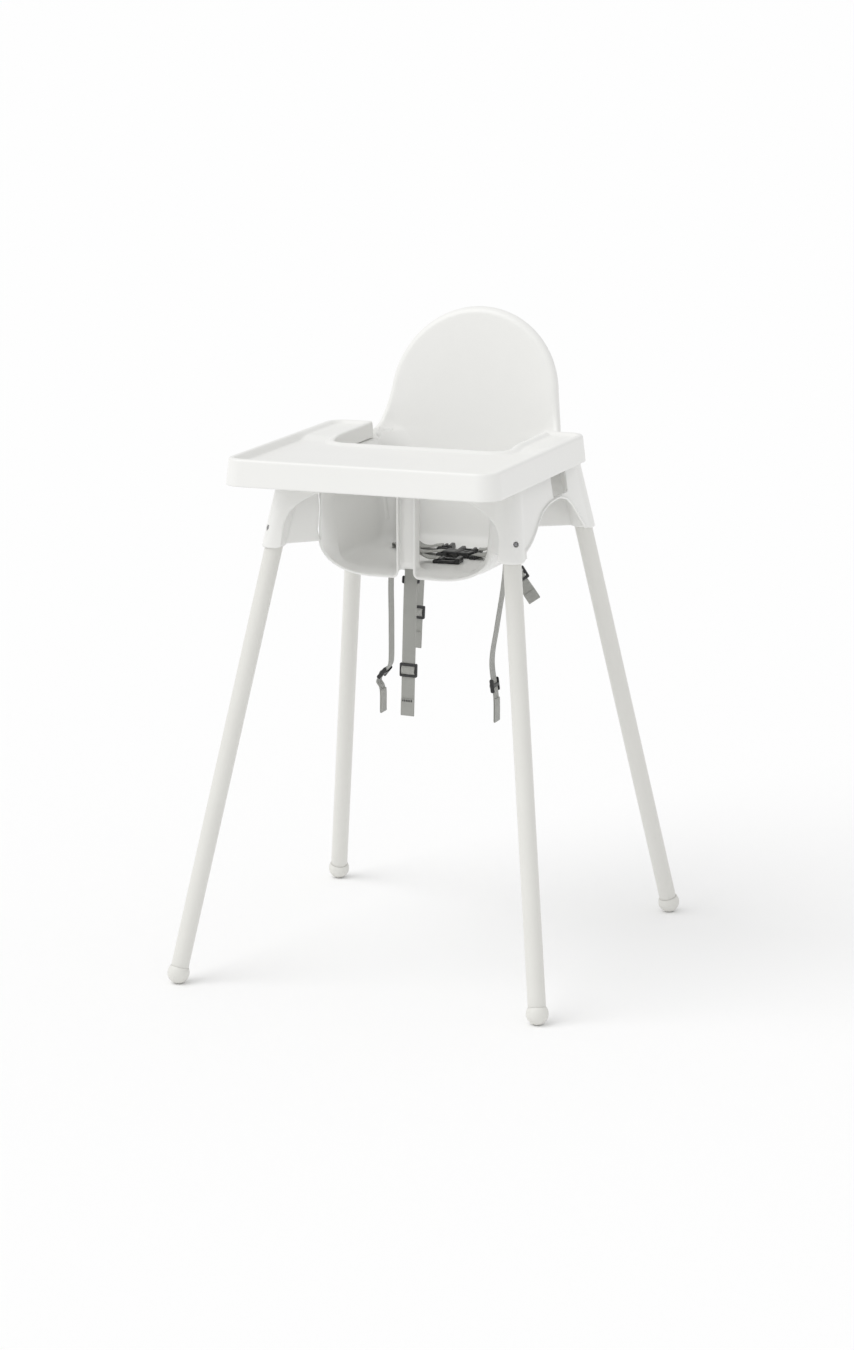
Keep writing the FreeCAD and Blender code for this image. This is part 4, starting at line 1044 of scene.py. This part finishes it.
def socket_field(x, y, z):
    """Female half: hollow, open at its mouth, with a window in each side."""
    length, height = 34.0, 9.0
    waist = 1.2 * np.exp(-(((x + 13) / 5.0) ** 2))
    body = rounded_box(x + (length - TAIL) / 2, y, z - height / 2,
                       ((length - TAIL) / 2, HALF_BUCKLE, height / 2), 2.2) + 0.5 * waist
    hollow = rounded_box(x + 8, y, z - height / 2, (14, HALF_BUCKLE - 2.2, height / 2 - 2), 0.8)
    windows = rounded_box(x + 13, np.abs(y) - HALF_BUCKLE, z - height / 2, (4, 4, 2), 1.0)
    ridge = rounded_box(x + 4.5, y, z - height + 0.2, (1.0, HALF_BUCKLE - 4, 0.7), 0.5)
    body = inside_either(body, ridge, 0.6)
    body = inside_either(body, tail_field(x, y, z, -length, -1), 1.5)
    return cut(cut(body, hollow, 0.5), windows, 0.6)


def tongue_field(x, y, z):
    """Male half: plain arms and a guide in the socket, and a body that narrows to its strap slot."""
    length, height = 28.0, 9.0
    narrow = HALF_BUCKLE - 0.7 - 0.12 * np.maximum(x, 0)
    body = rounded_box(x - 8.7, y * HALF_BUCKLE / narrow, z - height / 2,
                       (8.3, HALF_BUCKLE - 0.5, height / 2 - 0.6), 1.8)
    dish = np.sqrt((x - 9) ** 2 + (y * 0.8) ** 2 + (z - 13.5) ** 2) - 7.0
    body = cut(body, dish, 0.8)
    arm = rounded_box(x + 8.5, np.abs(y) - 8.3, z - height / 2, (10.4, 1.6, height / 2 - 2.4), 0.8)
    guide = rounded_box(x + 7, y, z - height / 2, (9.0, 1.5, height / 2 - 2.4), 0.8)
    made = inside_either(inside_either(body, arm, 0.8), guide, 0.8)
    neck = rounded_box(x - 17, y, z - 2.5, (3.4, HALF_BUCKLE - 3, 1.9), 0.8)
    made = inside_either(made, neck, 1.0)
    return inside_either(made, tail_field(x, y, z, length, 1), 1.2)


def clip_field(length):
    """Flat buckle piece: strap tail, low middle with a slot, raised end and ridge."""
    def field(x, y, z):
        middle = (TAIL - 1 + length) / 2
        plate = rounded_box(x - middle, y, z - 2.25, (length - middle, HALF_BUCKLE, 2.25), 1.3)
        end = rounded_box(x - length + 3.25, y, z - 4, (3.25, HALF_BUCKLE, 4), 1.8)
        ridge = rounded_box(x - TAIL - 1.1, y, z - 4, (2.1, HALF_BUCKLE - 1.5, 3), 1.2)
        made = inside_either(inside_either(plate, end, 1.5), ridge, 1.2)
        made = inside_either(made, tail_field(x, y, z, 0, -1), 1.2)
        slot_start, slot_end = TAIL + 3.7, length - 6.8
        half = max(0.6, (slot_end - slot_start) / 2)
        slot = rounded_box(x - (slot_start + slot_end) / 2, y, z - 2, (half, HALF_BUCKLE - 5, 8), 0.6)
        return cut(made, slot, 0.6)
    return field


BUCKLES = (
    ("buckle_socket", socket_field, (-37, -15, -2), (2, 15, 12), seat_place(33, 33, -7.3), ROOT),
    ("buckle_tongue", tongue_field, (-21, -15, -2), (30, 15, 12), seat_place(33, 33, -7.3), "buckle_tongue"),
    ("crotch_clip", clip_field(38.0), (-2, -15, -2), (40, 15, 11), seat_place(11.5, -14, 6), ROOT),
    ("shoulder_clip_left", clip_field(22.0), (-2, -15, -2), (24, 15, 11), seat_place(-18.3, 78.2, 8), ROOT),
    ("shoulder_clip_right", clip_field(31.0), (-2, -15, -2), (33, 15, 11), seat_place(50.5, 66, 186), ROOT),
)
for name, field, low, high, place, body in BUCKLES:
    piece = moulded(f"{name}_moulding", field, low, high, FINE, place)
    dress(piece, BLACK, body, "buckle_plastic", name)


# ---------------------------------------------------------------- stage, light and camera
FLOOR_WHITE = 0.96
WORLD_STRENGTH = 0.77
SUN_STRENGTH = 1.06
SUN_FROM = (-0.48, -0.48, 0.84)
EYE = (1.8618, -4.8229, 1.5462)


def floor():
    mesh = bpy.data.meshes.new("floor")
    reach = 60.0
    mesh.from_pydata([(-reach, -reach, 0), (reach, -reach, 0), (reach, reach, 0), (-reach, reach, 0)],
                     [], [(0, 1, 2, 3)])
    ground = bpy.data.objects.new("floor", mesh)
    bpy.context.scene.collection.objects.link(ground)
    material = bpy.data.materials.new("floor_white")
    material.use_nodes = True
    shader = material.node_tree.nodes["Principled BSDF"]
    shader.inputs["Base Color"].default_value = (FLOOR_WHITE, FLOOR_WHITE, FLOOR_WHITE, 1)
    shader.inputs["Roughness"].default_value = 1.0
    shader.inputs["Specular IOR Level"].default_value = 0.0
    mesh.materials.append(material)


def lights():
    world = bpy.data.worlds.new("studio")
    bpy.context.scene.world = world
    world.use_nodes = True
    world.node_tree.nodes["Background"].inputs["Color"].default_value = (1, 1, 1, 1)
    world.node_tree.nodes["Background"].inputs["Strength"].default_value = WORLD_STRENGTH
    data = bpy.data.lights.new("softbox", "SUN")
    data.energy = SUN_STRENGTH
    data.angle = math.radians(50)
    lamp = bpy.data.objects.new("softbox", data)
    lamp.rotation_mode = "QUATERNION"
    lamp.rotation_quaternion = Vector(SUN_FROM).to_track_quat("Z", "Y")
    bpy.context.scene.collection.objects.link(lamp)
    bpy.context.scene.view_settings.view_transform = "Standard"


def camera():
    data = bpy.data.cameras.new("camera")
    data.sensor_fit = "VERTICAL"
    data.sensor_height = 36.0
    data.sensor_width = 36.0
    data.lens = 99.65
    data.clip_end = 200.0
    eye = bpy.data.objects.new("camera", data)
    right = Vector((0.93263, 0.36082, -0.00172))
    up = Vector((-0.07656, 0.20255, 0.97627))
    back = right.cross(up)
    turned = Matrix((right, up, back)).transposed().to_4x4()
    eye.matrix_world = Matrix.Translation(EYE) @ turned
    bpy.context.scene.collection.objects.link(eye)
    bpy.context.scene.camera = eye


floor()
lights()
camera()
